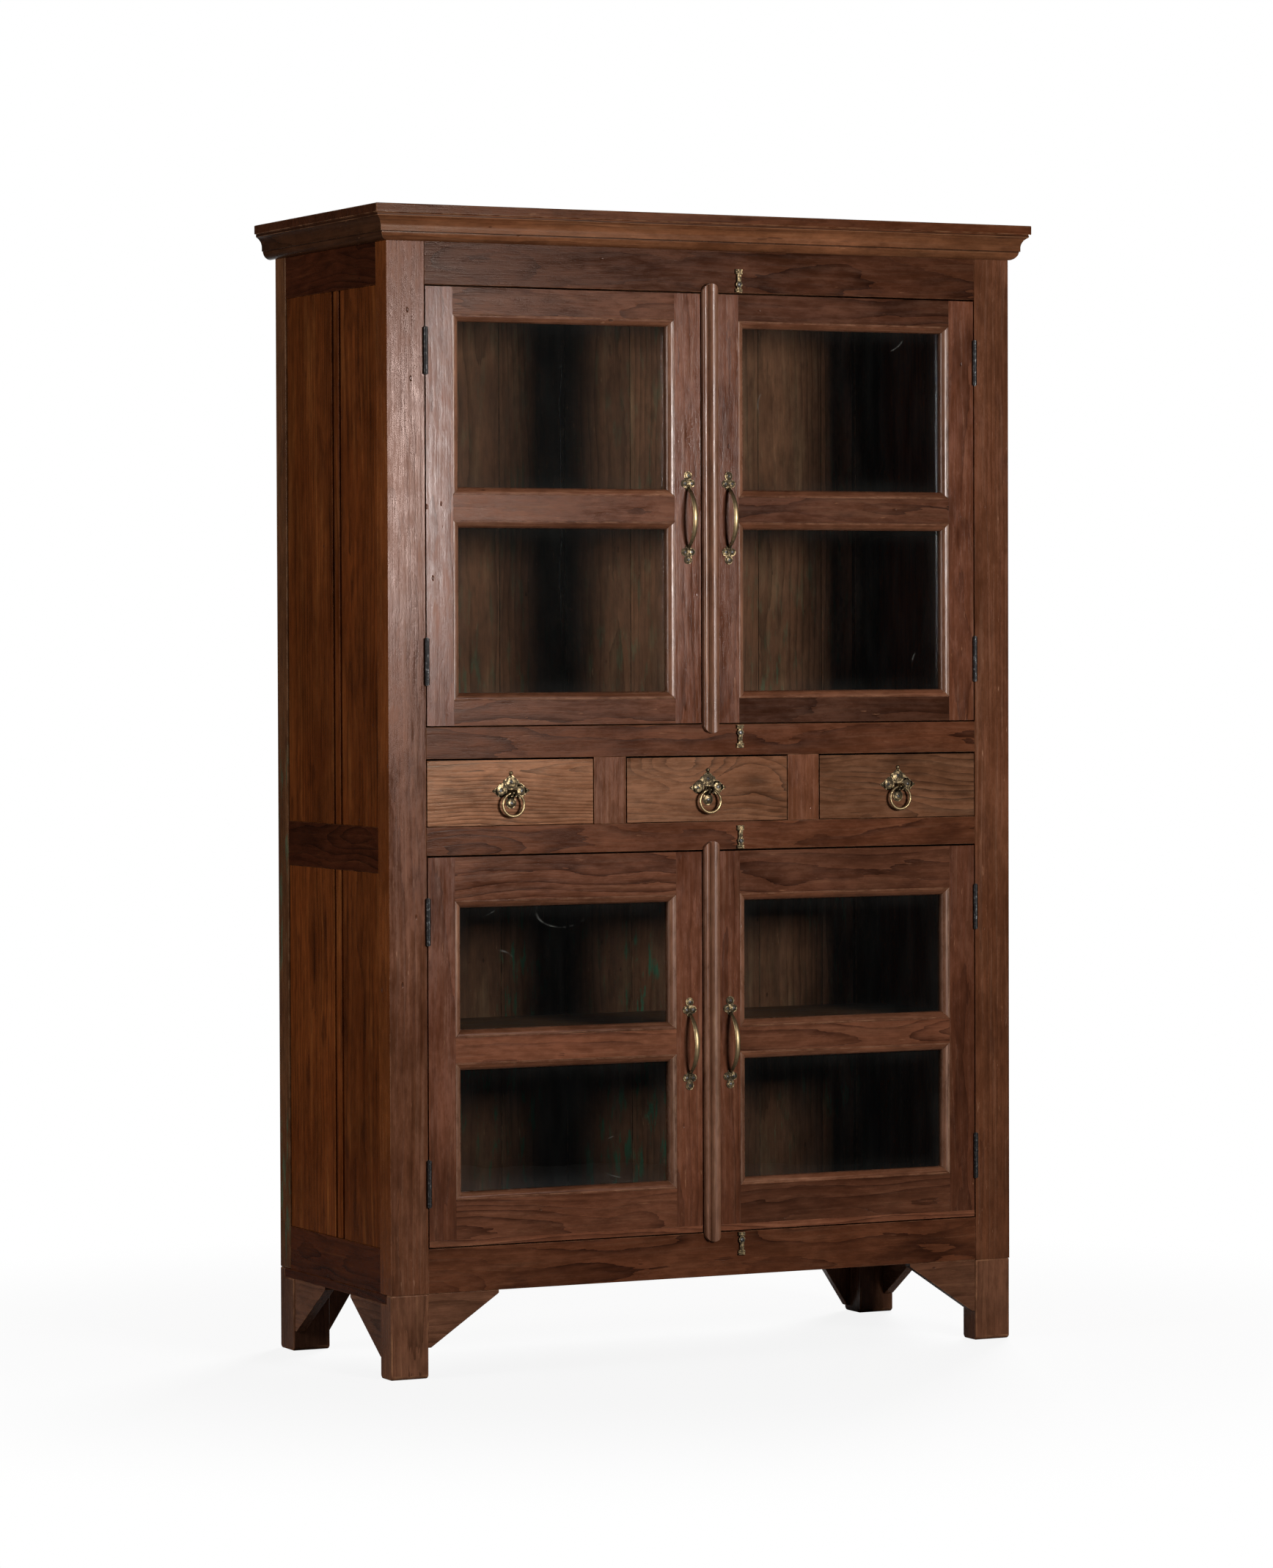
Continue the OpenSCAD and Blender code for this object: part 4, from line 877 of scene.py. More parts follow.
@dataclass
class WornCopy:
    """Copy of a CAD node with its edges eased by use and, for wood, a run of grain in each member.

    Attributes:
        node: CAD node that it stands for.
        finish: Name of its finish.
        slot: Material slot of the record.
        ease: Width of the eased edges, in millimetres.
        lift: Added to the tone of all its members.
        segments: Steps across an eased edge.
        tones: Tone of each member in order of place, 1 for the plain finish. Left out, chance picks them.
        flat: Name of the finish of the members that lie flat, if it is another one.
    """

    node: str
    finish: str
    slot: str
    ease: float = 1.0
    lift: float = 0.0
    segments: int = 2
    tones: tuple[float, ...] = ()
    flat: str = ""

    def build(self) -> Object:
        """Builds, dresses and fixes the copy.

        Returns:
            The finished object.
        """
        piece = bpy.data.objects.new(f"worn_{self.node}", frame["nodes"][self.node].data.copy())
        bpy.context.scene.collection.objects.link(piece)
        Bench.only(piece)
        if piece.data.has_custom_normals:
            bpy.ops.mesh.customdata_custom_splitnormals_clear()
        with Bench.opened(piece):
            bpy.ops.mesh.remove_doubles(threshold=0.02 * MM)
            bpy.ops.mesh.dissolve_limited(angle_limit=math.radians(1.5))
        Bench.ease(piece, self.ease, self.segments)
        Bench.paint(piece, self.finish)
        self.lay_grain(piece)
        Bench.hand_over(piece, BODIES[self.node], [self.node], self.slot)
        return piece

    def members(self, piece: Object) -> list[list[int]]:
        """Sorts the mesh into its separate members.

        Args:
            piece: Object to look at.

        Returns:
            The vertex numbers of each member, in order of place.
        """
        places = [vertex.co for vertex in piece.data.vertices]
        home = list(range(len(places)))  # for each vertex, a lower one that it hangs together with

        def root(vertex: int) -> int:
            """Returns the lowest vertex that is known to hang together with this one."""
            while home[vertex] != vertex:
                home[vertex] = vertex = home[home[vertex]]
            return vertex

        for edge in piece.data.edges:
            low, high = sorted(root(vertex) for vertex in edge.vertices)
            home[high] = low
        groups: dict[int, list[int]] = {}
        for vertex in range(len(home)):
            groups.setdefault(root(vertex), []).append(vertex)
        return sorted(
            groups.values(), key=lambda group: [round(min(places[i][a] for i in group), 3) for a in range(3)]
        )

    def lay_grain(self, piece: Object) -> None:
        """Keeps the grain's own coordinates, a tone for each member and the end grain in the mesh.

        Args:
            piece: Object with eased edges.
        """
        mesh = piece.data
        mesh.attributes.new("grain", "FLOAT_VECTOR", "POINT")
        mesh.attributes.new("tone", "FLOAT", "POINT")
        mesh.attributes.new("butt", "FLOAT", "FACE")
        mesh.attributes.new("flank", "FLOAT", "FACE")
        grain, tone, butt, flank = (mesh.attributes[name] for name in ("grain", "tone", "butt", "flank"))
        run = [0] * len(mesh.vertices)
        for number, group in enumerate(self.members(piece)):
            chance = random.Random(f"{self.node}-{number}")
            low = [min(mesh.vertices[i].co[a] for i in group) for a in range(3)]
            high = [max(mesh.vertices[i].co[a] for i in group) for a in range(3)]
            along, across, through = sorted(range(3), key=lambda a: low[a] - high[a])
            middle = [(low[a] + high[a]) / 2 for a in range(3)]
            start = chance.uniform(0, 40)
            pith_across = chance.uniform(-0.45, 0.45) * (high[across] - low[across])
            half = (high[through] - low[through]) / 2
            pith_through = chance.choice((-1, 1)) * (half + chance.uniform(0.004, 0.06))
            level = min(1.4, max(0.7, chance.gauss(1.0, 0.1) + self.lift))
            if self.tones:
                level = self.tones[min(number, len(self.tones) - 1)]
            for i in group:
                at = mesh.vertices[i].co
                grain.data[i].vector = (
                    at[along] + start,
                    at[across] - middle[across] + pith_across,
                    at[through] - middle[through] + pith_through,
                )
                tone.data[i].value = level
                run[i] = along
        if self.flat:
            mesh.materials.append(FINISHES[self.flat])
        for face in mesh.polygons:
            along = run[face.vertices[0]]
            butt.data[face.index].value = float(abs(face.normal[along]) > SQUARE_ON)
            flank.data[face.index].value = float(abs(face.normal.x) > SQUARE_ON)
            face.material_index = int(bool(self.flat) and along != 2)


@dataclass
class Carcass:
    """Posts, rails, boards, feet, cornice and inside boards of the case.

    Attributes:
        post_ease: Width of the eased edges of the posts, in millimetres.
        rail_ease: Width of the eased edges of the rails.
        foot_ease: Width of the eased edges of the feet.
        board_ease: Width of the eased edges of the boards.
        top_ease: Width of the eased edges of the top board.
        cornice_ease: Width of the eased edges of the cornice.
        rail_tones: Tone of each front rail from the bottom.
        side_rail_tones: Tone of a side's batten and rails from the bottom.
        right_board_tones: Tone of the boards of the right side, raised as painted light because they see less
            light.
        plank_tones: Tone of each back plank from the left, partly painted light: the right-hand planks are
            lifted where little light reaches them.
    """

    post_ease: float = 2.0
    rail_ease: float = 1.0
    foot_ease: float = 2.4
    board_ease: float = 0.6
    top_ease: float = 1.4
    cornice_ease: float = 0.5
    rail_tones: tuple[float, ...] = (1.12, 1.1, 1.05, 0.68)
    side_rail_tones: tuple[float, ...] = (1.1, 0.78, 0.82)
    right_board_tones: tuple[float, ...] = (1.5,)
    plank_tones: tuple[float, ...] = (0.8, 0.8, 0.9, 0.85, 0.85, 0.98, 1.15, 1.3, 2.4)

    def build(self) -> None:
        """Builds every wooden part that stays still."""
        for end, finish in (("front", "post_wood"), ("rear", "rear_post_wood")):
            for hand in Hand:
                WornCopy(f"post_{end}_{hand}", finish, "case_wood", self.post_ease, tones=(1.0,)).build()
        WornCopy("foot_blocks", "foot_wood", "rail_wood", self.foot_ease, segments=3).build()
        WornCopy("corner_brackets", "foot_wood", "rail_wood", self.rail_ease).build()
        WornCopy("front_rails", "rail_wood", "rail_wood", self.rail_ease, tones=self.rail_tones).build()
        WornCopy("drawer_dividers", "post_wood", "case_wood", self.rail_ease, 0.15).build()
        for hand in Hand:
            tones = self.side_rail_tones
            WornCopy(f"side_rails_{hand}", "side_rail_wood", "rail_wood", self.rail_ease, tones=tones).build()
            # painted light: the right side's boards are made lighter because little light reaches them
            tones = self.right_board_tones if hand is Hand.RIGHT else ()
            WornCopy(f"side_boards_{hand}", "side_wood", "case_wood", self.board_ease, tones=tones).build()
        WornCopy("back_rails", "rail_wood", "rail_wood", self.rail_ease).build()
        WornCopy("top_board", "cornice_wood", "case_wood", self.top_ease, tones=(0.72,)).build()
        WornCopy("cornice", "cornice_wood", "case_wood", self.cornice_ease, tones=(1.08, 0.3, 0.5)).build()
        # partly painted light: the right-hand planks' tones lift planks that little light reaches
        WornCopy("back_planks", "plank_wood", "inner_wood", self.board_ease, tones=self.plank_tones).build()
        for node in ("floor_boards", "shelves", "shelf_bearers", "drawer_runners"):
            WornCopy(node, "inner_wood", "inner_wood", self.board_ease).build()


@dataclass
class Hinges:
    """Butt hinges in dark iron.

    Attributes:
        ease: Width of the eased edges of plates and knuckles, in millimetres.
        pin_ease: Width of the eased edges of the pins.
    """

    ease: float = 0.3
    pin_ease: float = 0.4

    def build(self) -> None:
        """Builds the plates, knuckles and pins."""
        WornCopy("hinge_plates", "hinge_iron", "hinge_iron", self.ease).build()
        WornCopy("hinge_pins", "hinge_iron", "hinge_iron", self.pin_ease).build()
        for tier in Tier:
            for hand in Hand:
                WornCopy(f"{tier}_{hand}_door_hinges", "hinge_iron", "hinge_iron", self.ease).build()


# ---------------------------------------------------------------- doors


@dataclass
class Pane:
    """Pane of drawn glass with a faint ripple.

    Attributes:
        cuts: Cuts across each face.
        ripple: Depth of the ripple, in millimetres.
        rim: Width of the dusty border, in millimetres.
        wander: Size of the ripple's waves, in metres.
    """

    cuts: int = 24
    ripple: float = 0.1
    rim: float = 34.0
    wander: float = 0.09

    def build(self, low: Vector, high: Vector) -> Object:
        """Models one pane.

        Args:
            low: Lowest corner, in metres.
            high: Highest corner, in metres.

        Returns:
            The pane.
        """
        piece = Bench.block(tuple(low / MM), tuple(high / MM))
        with Bench.opened(piece):
            bpy.ops.mesh.subdivide(number_cuts=self.cuts)
        texture = bpy.data.textures.new("ripple", "CLOUDS")
        texture.noise_scale = self.wander
        Bench.work(piece, "DISPLACE", texture=texture, direction="Y", strength=self.ripple * MM)
        Bench.smooth(piece, 40)
        rim = piece.data.attributes.new("rim", "FLOAT", "POINT")
        for vertex in piece.data.vertices:
            gap = min(vertex.co.x - low.x, high.x - vertex.co.x, vertex.co.z - low.z, high.z - vertex.co.z)
            rim.data[vertex.index].value = max(0.0, 1.0 - gap / (self.rim * MM))
        return piece


@dataclass
class ScrewHead:
    """Domed steel screw head with a slot, facing -Y.

    Attributes:
        radius: Radius of the head.
        rise: Height of the head.
        slot: Width of the slot.
    """

    radius: float = 2.7
    rise: float = 1.1
    slot: float = 0.75

    def build(self, at: Point, turn: float) -> Object:
        """Models one head.

        Args:
            at: Middle of its seat, in millimetres.
            turn: Turn of the slot, in degrees.

        Returns:
            The screw head.
        """
        head = Bench.dome(self.radius, self.rise, at)
        reach = self.radius + 1
        half = self.slot / 2
        slot = Bench.block((-reach, -self.rise - 1, -half), (reach, -self.rise * 0.45, half))
        slot.data.transform(Matrix.Rotation(math.radians(turn), 4, "Y"))
        slot.data.transform(Matrix.Translation(Vector(at) * MM))
        Bench.boolean(head, [slot], "DIFFERENCE")
        return Bench.paint(Bench.smooth(head, 35), "screw_steel")


@dataclass
class DoorHandle:
    """Bowed brass handle between two trefoil plates.

    Attributes:
        height: Overall height.
        reach: How far the bow stands out.
        plate_height: Height of a trefoil plate.
        plate_rise: Thickness of its flat.
        top_lobe: Radius of the far lobe.
        side_lobe: Radius of the two side lobes.
        foot_lobe: Radius at the foot of the bow.
        bow_width: Width of the bow at its middle.
        bow_thick: Thickness of the bow at its middle.
        bow_end_width: Width of the bow at its ends.
        bow_end_thick: Thickness of the bow at its ends.
    """

    height: float = 142.0
    reach: float = 29.0
    plate_height: float = 30.0
    plate_rise: float = 1.5
    top_lobe: float = 6.6
    side_lobe: float = 6.0
    foot_lobe: float = 4.8
    bow_width: float = 8.0
    bow_thick: float = 4.0
    bow_end_width: float = 4.6
    bow_end_thick: float = 3.0

    def plate(self) -> Object:
        """Models the upper plate with its foot at the origin.

        Returns:
            The plate with its screws, back at y = 0.
        """
        lobes = [
            (0.0, self.plate_height - self.top_lobe - 0.2, self.top_lobe),
            (-5.5, 11.2, self.side_lobe),
            (5.5, 11.2, self.side_lobe),
            (0.0, self.foot_lobe + 0.1, self.foot_lobe),
        ]
        flats = [Bench.rod(r, self.plate_rise, (x, -self.plate_rise / 2, z), sides=40) for x, z, r in lobes]
        flats.append(Bench.block((-4.6, -self.plate_rise, 11.0), (4.6, 0, 20.0)))
        plate = Bench.boolean(flats[0], flats[1:], "UNION")
        Bench.ease(plate, 0.45, 2, 40)
        domes = [Bench.dome(r * 0.82, 1.3, (x, -self.plate_rise + 0.15, z)) for x, z, r in lobes]
        brass = Bench.paint(Bench.join([plate, *domes], "plate"), "aged_brass")
        screws = [
            ScrewHead(2.5, 1.1).build((x, -self.plate_rise - 0.8, z), turn)
            for (x, z, _), turn in zip(lobes[:3], (35, 70, 10))
        ]
        return Bench.join([brass, *screws], "plate")

    def bow(self) -> Object:
        """Models the bow by spinning its section about the middle of its arc.

        Returns:
            The bow, its middle at z = 0 and the plates' face at y = 0.
        """
        half = self.height / 2 - self.plate_height + 6
        rise = self.reach - self.bow_thick / 2
        radius = (half**2 + rise**2) / (2 * rise)
        sweep = math.asin(half / radius) * 0.985
        centre = Vector((0, radius - rise, 0)) * MM
        piece = Bench.stock(
            "circle", (self.bow_width / 2, self.bow_thick / 2, 1), vertices=14, radius=MM, fill_type="NGON"
        )
        piece.data.transform(Matrix.Translation((0, -rise * MM, 0)))
        turn = Matrix.Rotation(-sweep, 4, "X")
        piece.data.transform(Matrix.Translation(centre) @ turn @ Matrix.Translation(-centre))
        with Bench.opened(piece):
            bpy.ops.mesh.spin(steps=30, angle=-2 * sweep, center=centre, axis=(1, 0, 0))
            bpy.ops.mesh.select_all(action="SELECT")
            bpy.ops.mesh.remove_doubles(threshold=0.01 * MM)
            bpy.ops.mesh.normals_make_consistent(inside=False)
        rubbed = piece.data.attributes.new("rubbed", "FLOAT", "POINT")
        for vertex in piece.data.vertices:
            from_centre = vertex.co - centre
            angle = math.atan2(from_centre.z, -from_centre.y)
            swell = max(0.0, math.cos(math.pi / 2 * min(1.0, abs(angle) / sweep))) ** 0.8
            distance = math.hypot(from_centre.y, from_centre.z)
            thick = (self.bow_end_thick + (self.bow_thick - self.bow_end_thick) * swell) / self.bow_thick
            width = (self.bow_end_width + (self.bow_width - self.bow_end_width) * swell) / self.bow_width
            out = radius * MM + (distance - radius * MM) * thick
            vertex.co = (vertex.co.x * width, centre.y - out * math.cos(angle), out * math.sin(angle))
            rubbed.data[vertex.index].value = swell**1.5
        return Bench.paint(Bench.smooth(piece, 60), "aged_brass")

    def build(self, tier: Tier, hand: Hand) -> None:
        """Models the handle of one door.

        Args:
            tier: Pair of doors.
            hand: Side that the door hangs on.
        """
        node = f"{tier}_{hand}_door_handle"
        low, high = (Vector(corner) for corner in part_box(node))
        place = Matrix.Translation(((low.x + high.x) / 2, high.y, (low.z + high.z) / 2))
        plate = self.plate()
        foot = (self.height / 2 - self.plate_height) * MM
        upper = Bench.twin(plate, place @ Matrix.Translation((0, 0, foot)))
        lower = Bench.twin(plate, place @ Matrix.Diagonal((1, 1, -1, 1)) @ Matrix.Translation((0, 0, foot)))
        bpy.data.objects.remove(plate)
        bow = self.bow()
        bow.data.transform(place)
        piece = Bench.join([bow, upper, lower], f"brass_{node}")
        Bench.hand_over(piece, BODIES[node], [node], "aged_brass")


@dataclass
class Doors:
    """The four glazed leaves with their beads, panes, handles and astragals.

    Attributes:
        frame_ease: Width of the eased edges of a frame, in millimetres.
        bead_ease: Width of the eased edges of the beads.
        astragal_ease: Width of the eased edges of an astragal.
        tones: Tone of each frame's members: any lipping, a stile, the rails going up, the other stile.
    """

    frame_ease: float = 0.7
    bead_ease: float = 0.4
    astragal_ease: float = 1.8
    tones: ClassVar[dict[tuple[Tier, Hand], tuple[float, ...]]] = {
        (Tier.LOWER, Hand.LEFT): (1.5, 1.1, 1.08, 1.45, 1.16, 1.1),
        (Tier.LOWER, Hand.RIGHT): (1.5, 1.0, 0.85, 1.02, 0.78, 0.8),
        (Tier.UPPER, Hand.LEFT): (1.25, 0.9, 1.06, 0.82, 1.3),
        (Tier.UPPER, Hand.RIGHT): (1.1, 0.44, 0.66, 0.62, 1.1),
    }

    def build(self) -> None:
        """Builds the leaves."""
        for tier in Tier:
            for hand in Hand:
                name = f"{tier}_{hand}_door"
                WornCopy(
                    f"{name}_frame", "door_wood", "case_wood", self.frame_ease, tones=self.tones[tier, hand],
                    flat="door_rail_wood",
                ).build()
                WornCopy(
                    f"{name}_beads", "bead_wood", "bead_wood", self.bead_ease, flat="bead_rail_wood"
                ).build()
                self.glaze(f"{name}_glass")
                DoorHandle().build(tier, hand)
            WornCopy(
                f"{tier}_astragal", "bead_wood", "case_wood", self.astragal_ease, segments=3, tones=(1.0,)
            ).build()

    def glaze(self, node: str) -> None:
        """Models both panes of a leaf.

        Args:
            node: CAD node of the panes.
        """
        low, high = (Vector(corner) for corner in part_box(node))
        mesh = frame["nodes"][node].data
        middle = (low.z + high.z) / 2
        panes = []
        for keep in (-1, 1):
            levels = [v.co.z for v in mesh.vertices if (v.co.z - middle) * keep > 0]
            foot, head = Vector((low.x, low.y, min(levels))), Vector((high.x, high.y, max(levels)))
            panes.append(Pane().build(foot, head))
        piece = Bench.paint(Bench.join(panes, f"drawn_{node}"), "window_glass")
        Bench.hand_over(piece, BODIES[node], [node], "old_glass")


# ---------------------------------------------------------------- drawers


@dataclass
class RingPull:
    """Brass ring pull: lobed back plate with two claws, four screws and a ring.

    Attributes:
        plate_rise: Thickness of the plate's flat.
        knob_up: Height of the knob over the side lobes.
        knob_r: Radius of the knob.
        pivot_down: Drop of the ring's pivot below the side lobes.
        ring_out: Distance from the drawer to the ring.
        wire: Radius of the ring's wire at the pivot.
        wire_low: Radius of the wire at the bottom.
    """

    plate_rise: float = 1.3
    knob_up: float = 26.8
    knob_r: float = 3.0
    pivot_down: float = 3.5
    ring_out: float = 9.5
    wire: float = 1.85
    wire_low: float = 2.35

    def plate(self) -> Object:
        """Models the back plate about the middle of its side lobes.

        Returns:
            The plate with its claws and screws, back at y = 0.
        """
        lobes = [(0.0, 11.5, 10.6), (-7.6, 12.2, 5.6), (7.6, 12.2, 5.6), (0.0, 18.4, 5.4), (0.0, -18.0, 8.7)]
        wing = ((16.0, 0.0, 9.4), (15.0, 6.4, 5.2), (15.0, -6.6, 5.0), (23.4, 0.0, 4.4))
        lobes += [(side * x, z, r) for side in (-1, 1) for x, z, r in wing]
        flats = [Bench.rod(r, self.plate_rise, (x, -self.plate_rise / 2, z), sides=36) for x, z, r in lobes]
        flats.append(Bench.block((-5.2, -self.plate_rise, -14.0), (5.2, 0, 6.0)))
        flats.append(Bench.block((-1.6, -self.plate_rise, 20.0), (1.6, 0, self.knob_up)))
        for side in (-1, 1):
            tip = Bench.rod(4.0, 5.6, (side * 28.2, -self.plate_rise / 2, 0.0), Axis.X, 4, 0.5)
            tip.data.transform(Matrix.Diagonal((1, 0.45, 1, 1)))
            if side < 0:
                tip.data.transform(Matrix.Translation((-56.4 * MM, 0, 0)) @ Matrix.Diagonal((-1, 1, 1, 1)))
                tip.data.flip_normals()
            flats.append(tip)
        plate = Bench.boolean(flats[0], flats[1:], "UNION")
        Bench.ease(plate, 0.35, 2, 40)
        rounds = [(0, 12.4, 9.0, 1.1), (-16, 0, 8.0, 1.0), (16, 0, 8.0, 1.0), (0, -18, 7.6, 2.2)]
        parts = [Bench.dome(r, rise, (x, -self.plate_rise + 0.3, z)) for x, z, r, rise in rounds]
        parts.append(Bench.dome(self.knob_r, 2.2, (0, -1.4, self.knob_up)))
        parts.append(Bench.dome(1.9, 1.6, (0, -1.3, self.knob_up - 4.4)))
        for x in (-3.25, 3.25):
            claw = Bench.rod(5.4, 2.5, (x, -self.ring_out, -self.pivot_down), Axis.X, 28)
            shank = Bench.block(
                (x - 1.25, -self.ring_out, -self.pivot_down - 3.2), (x + 1.25, -0.6, -self.pivot_down + 5.4)
            )
            bore = Bench.rod(3.0, 4.0, (x, -self.ring_out, -self.pivot_down), Axis.X, 28)
            Bench.boolean(claw, [shank], "UNION")
            Bench.boolean(claw, [bore], "DIFFERENCE")
            parts.append(Bench.ease(claw, 0.5, 2, 40))
        brass = Bench.paint(Bench.join([plate, *parts], "pull"), "aged_brass")
        seats = [(0.0, 13.6, 1.1, 30), (-17.4, 0.4, 1.0, 55), (17.4, 0.4, 1.0, 100), (0.0, -18.6, 2.2, 20)]
        screws = [
            ScrewHead(2.7, 1.1).build((x, -self.plate_rise - rise + 0.7, z), turn)
            for x, z, rise, turn in seats
        ]
        return Bench.join([brass, *screws], "pull")

    def ring(self, node: str) -> Object:
        """Models the ring, heavier towards its bottom.

        Args:
            node: CAD node of the ring.

        Returns:
            The ring in its place.
        """
        low, high = (Vector(corner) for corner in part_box(node))
        middle = (low + high) / 2
        major = (high.x - low.x) / 2 - self.wire * MM
        piece = Bench.stock(
            "torus", location=middle, rotation=Axis.Y.value, major_radius=major, minor_radius=self.wire * MM,
            major_segments=56, minor_segments=14,
        )
        rubbed = piece.data.attributes.new("rubbed", "FLOAT", "POINT")
        for vertex in piece.data.vertices:
            spoke = Vector((vertex.co.x - middle.x, 0, vertex.co.z - middle.z)).normalized()
            core = Vector((middle.x, middle.y, middle.z)) + spoke * major
            drop = (1 - spoke.z) / 2
            swell = 1 + (self.wire_low / self.wire - 1) * drop**2
            vertex.co = core + (vertex.co - core) * swell
            rubbed.data[vertex.index].value = 0.25 + 0.6 * drop
        return Bench.paint(Bench.smooth(piece), "aged_brass")

    def build(self, bay: Bay) -> None:
        """Models the pull of one drawer.

        Args:
            bay: Place of the drawer.
        """
        node = f"{bay}_drawer_pull"
        low, high = (Vector(corner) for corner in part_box(node))
        lobes_z = high.z - (self.knob_up + self.knob_r) * MM
        plate = self.plate()
        plate.data.transform(Matrix.Translation(((low.x + high.x) / 2, high.y, lobes_z)))
        plate.name = f"brass_{node}"
        Bench.hand_over(plate, BODIES[node], [node], "aged_brass")
        ring_node = f"{bay}_drawer_ring"
        ring = self.ring(ring_node)
        ring.name = f"brass_{ring_node}"
        Bench.hand_over(ring, BODIES[ring_node], [ring_node], "aged_brass")


@dataclass
class Drawers:
    """The three drawers with their pulls.

    Attributes:
        front_ease: Width of the eased edges of a front, in millimetres.
        box_ease: Width of the eased edges of a box.
        tones: Tone of each front, lighter on the left and darker on the right as painted light.
    """

    front_ease: float = 1.3
    box_ease: float = 0.5
    # painted light: the fronts fall from light on the left to dark on the right, as the light falls off
    # across the row
    tones: ClassVar[dict[Bay, float]] = {Bay.LEFT: 1.65, Bay.MIDDLE: 1.05, Bay.RIGHT: 0.78}

    def build(self) -> None:
        """Builds the drawers."""
        for bay in Bay:
            WornCopy(
                f"{bay}_drawer_front", "drawer_wood", "drawer_wood", self.front_ease, tones=(self.tones[bay],)
            ).build()
            WornCopy(f"{bay}_drawer_box", "inner_wood", "inner_wood", self.box_ease, 0.1).build()
            RingPull().build(bay)


# ---------------------------------------------------------------- turn buttons


@dataclass
class TurnButton:
    """Cast brass turn button with ribbed ends, on a slotted screw.

    Attributes:
        short: Distance from the screw to the short end.
        long: Distance from the screw to the long end.
        width: Width of the ends.
        waist: Width between ends and boss.
        rise: Height of the face over the wood.
        gap: Gap behind the button.
    """

    short: float = 12.0
    long: float = 23.5
    width: float = 11.5
    waist: float = 6.4
    rise: float = 4.3
    gap: float = 0.4

    def build(self, row: str) -> None:
        """Models one button.

        Args:
            row: Name of its place, which ends in top where the long end points up.
        """
        node = f"button_{row}"
        low, high = (Vector(corner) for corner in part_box(node))
        half, slim = self.width / 2, self.waist / 2
        parts = [
            Bench.block((-slim, -self.rise, -self.short + 1), (slim, -self.gap, self.long - 1)),
            Bench.rod(half - 0.4, self.rise - self.gap, (0, -(self.rise + self.gap) / 2, 0)),
            Bench.block((-half, -self.rise + 1, -self.short), (half, -self.gap, -self.short + 5.5)),
            Bench.block((-half, -self.rise + 1, self.long - 7.5), (half, -self.gap, self.long)),
        ]
        body = Bench.boolean(parts[0], parts[1:], "UNION")
        Bench.ease(body, 0.4, 2, 40)
        ribs = []
        foot, head = -self.short, self.long
        for middle in (foot + 1.2, foot + 4.1, head - 1.2, head - 4.0, head - 6.6):
            rib = Bench.block(
                (-half + 0.3, -self.rise - 0.5, middle - 0.95), (half - 0.3, -self.rise + 1.4, middle + 0.95)
            )
            ribs.append(Bench.ease(rib, 0.6, 3, 40))
        brass = Bench.paint(Bench.join([body, *ribs], "button"), "aged_brass")
        screw = ScrewHead(3.4, 1.5, 0.9).build((0, -self.rise - 0.1, 0), 60)
        piece = Bench.join([brass, screw], f"brass_{node}")
        up = row.endswith("top")
        seat = low.z + self.short * MM if up else high.z - self.short * MM
        turn = Matrix.Identity(4) if up else Matrix.Rotation(math.pi, 4, "Y")
        piece.data.transform(Matrix.Translation(((low.x + high.x) / 2, FRONT, seat)) @ turn)
        Bench.hand_over(piece, BODIES[node], [node], "aged_brass")


# ---------------------------------------------------------------- studio


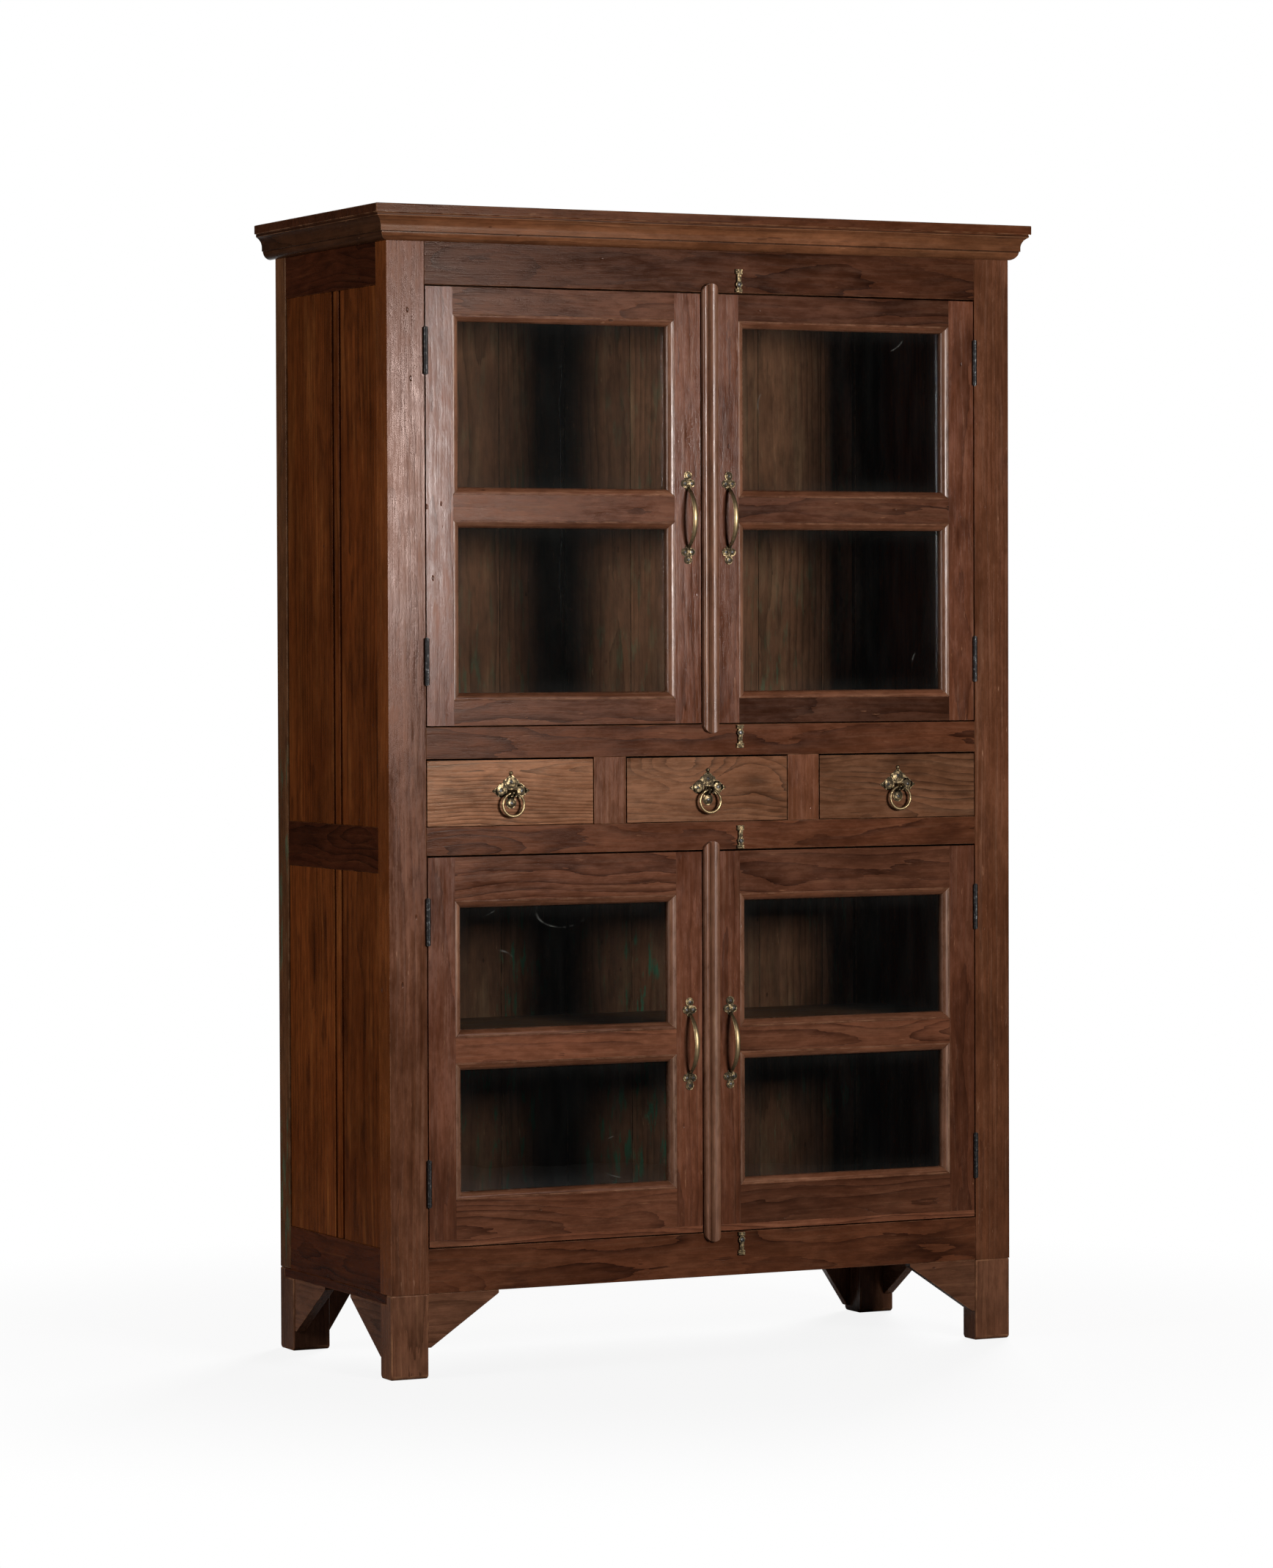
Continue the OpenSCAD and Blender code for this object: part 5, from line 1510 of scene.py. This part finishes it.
@dataclass
class Studio:
    """White floor, three soft lights and the camera.

    Attributes:
        eye: Place of the camera, in metres.
        yaw: Turn of the view from +Y towards +X, in radians.
        pitch: Tilt of the view, in radians.
        roll: Turn about the view, in radians.
        focal: Focal length as a multiple of the frame's width.
        floor_bounce: Share of light that the floor throws back at the piece.
        room_level: Strength of the dim room.
        cone: How squarely a ray must run away from the eye to start and to end turning white, as a cosine.
    """

    eye: Point = (-3.6673, -7.4346, 1.1007)
    yaw: float = 0.456666
    pitch: float = -0.026871
    roll: float = -0.003556
    focal: float = 7216.4 / 1736
    floor_bounce: float = 0.22
    room_level: float = 0.015
    cone: tuple[float, float] = (0.84, 0.96)

    def camera(self) -> None:
        """Places the camera."""
        data = bpy.data.cameras.new("camera")
        data.sensor_fit = "HORIZONTAL"
        data.sensor_width = 36.0
        data.lens = 36.0 * self.focal
        ahead = self.ahead() * math.cos(self.pitch) + Vector((0.0, 0.0, math.sin(self.pitch)))
        level = Vector((math.cos(self.yaw), -math.sin(self.yaw), 0.0))
        above = level.cross(ahead)
        right = level * math.cos(self.roll) + above * math.sin(self.roll)
        up = above * math.cos(self.roll) - level * math.sin(self.roll)
        turn = Matrix((right, up, -ahead)).transposed().to_4x4()
        camera = bpy.data.objects.new("camera", data)
        camera.matrix_world = Matrix.Translation(self.eye) @ turn
        bpy.context.scene.collection.objects.link(camera)
        bpy.context.scene.camera = camera

    def ahead(self) -> Vector:
        """Returns the level direction that the camera looks in."""
        return Vector((math.sin(self.yaw), math.cos(self.yaw), 0.0))

    def lamp(
        self, name: str, at: Point, aim: Point, size: tuple[float, float], power: float, spread: float
    ) -> None:
        """Hangs one soft box.

        Args:
            name: Name of the lamp.
            at: Its middle, in metres.
            aim: Point that it faces, in metres.
            size: Width and height, in metres.
            power: Power, in watts.
            spread: Opening of its beam, in degrees.
        """
        data = bpy.data.lights.new(name, "AREA")
        data.shape = "RECTANGLE"
        data.size, data.size_y = size
        data.energy = power
        data.spread = math.radians(spread)
        lamp = bpy.data.objects.new(name, data)
        lamp.visible_camera = False
        facing = (Vector(aim) - Vector(at)).to_track_quat("-Z", "Y")
        lamp.matrix_world = Matrix.Translation(at) @ facing.to_matrix().to_4x4()
        bpy.context.scene.collection.objects.link(lamp)

    def seen(self, s: NodeSheet, course: Signal) -> Socket:
        """Picks the rays that have to find white.

        Args:
            s: Sheet of the material.
            course: Direction of the point from the middle.

        Returns:
            1 for the eye's own rays, and for those that glass and metal send away from the eye.
        """
        rays = s.node("LightPath").outputs
        facing = s.vector("DOT_PRODUCT", course, tuple(self.ahead()), "Value")
        sent = s.math("ADD", rays["Is Transmission Ray"], rays["Is Glossy Ray"], True)
        direct = s.math("LESS_THAN", rays["Diffuse Depth"], 0.5)
        return s.math("MAXIMUM", rays["Is Camera Ray"], s.times(sent, direct, s.fade(facing, *self.cone)))

    def floor(self) -> None:
        """Lays the floor: plain white that keeps the shadow and runs out into the white surround."""
        floor = Bench.stock("circle", vertices=96, radius=3.2, fill_type="NGON")
        floor.name = "floor"
        s = NodeSheet("floor_paper")
        place = s.place()
        far = s.fade(s.vector("LENGTH", place, output="Value"), 0.6, 1.7)
        seen = self.seen(s, s.vector("NORMALIZE", place))
        cloth = s.blend(seen, (self.floor_bounce,) * 3, (0.86, 0.86, 0.86))
        paper = s.shader("BsdfDiffuse", {"Color": cloth})
        white = s.shader("Emission", {"Color": (1.0, 1.0, 1.0), "Strength": 1.0})
        shown = s.mix(s.times(s.plus(s.times(far, 0.12), 0.88), seen), paper, white)
        floor.data.materials.append(s.finish(shown))

    def surround(self) -> None:
        """Makes the surround white to the eye, and behind the piece to metal too, over a dim room."""
        s = NodeSheet("surround", bpy.data.worlds.new("surround"))
        seen = self.seen(s, s.node("TexCoord").outputs["Generated"])
        room = s.shader("Background", {0: (0.95, 0.97, 1.0), 1: self.room_level})
        white = s.shader("Background", {0: (1.0, 1.0, 1.0), 1: 1.0})
        s.node("OutputWorld", {"Surface": s.mix(seen, room, white)})
        bpy.context.scene.world = s.owner

    def build(self) -> None:
        """Sets the whole studio up."""
        bpy.context.scene.view_settings.view_transform = "Standard"
        self.camera()
        self.lamp("soft_box_right", (0.66, -4.0, 1.48), (-0.2, -0.2, 1.3), (0.95, 0.68), 46.0, 110.0)
        self.lamp("soft_box_left", (-4.0, -0.35, 1.7), (-0.5, 0.0, 1.1), (1.2, 1.7), 40.0, 140.0)
        self.lamp("soft_box_rear", (2.7, 3.0, 1.9), (0.2, 0.1, 1.0), (1.5, 1.5), 45.0, 60.0)
        self.surround()
        self.floor()


def main() -> None:
    """Builds the cabinet's looks and the studio, in order."""
    logging.basicConfig(level=logging.INFO, format="%(message)s")
    Studio().build()
    Carcass().build()
    Hinges().build()
    Doors().build()
    Drawers().build()
    for row in ("lower_bottom", "lower_top", "upper_bottom", "upper_top"):
        TurnButton().build(row)


if __name__ == "__main__":
    main()
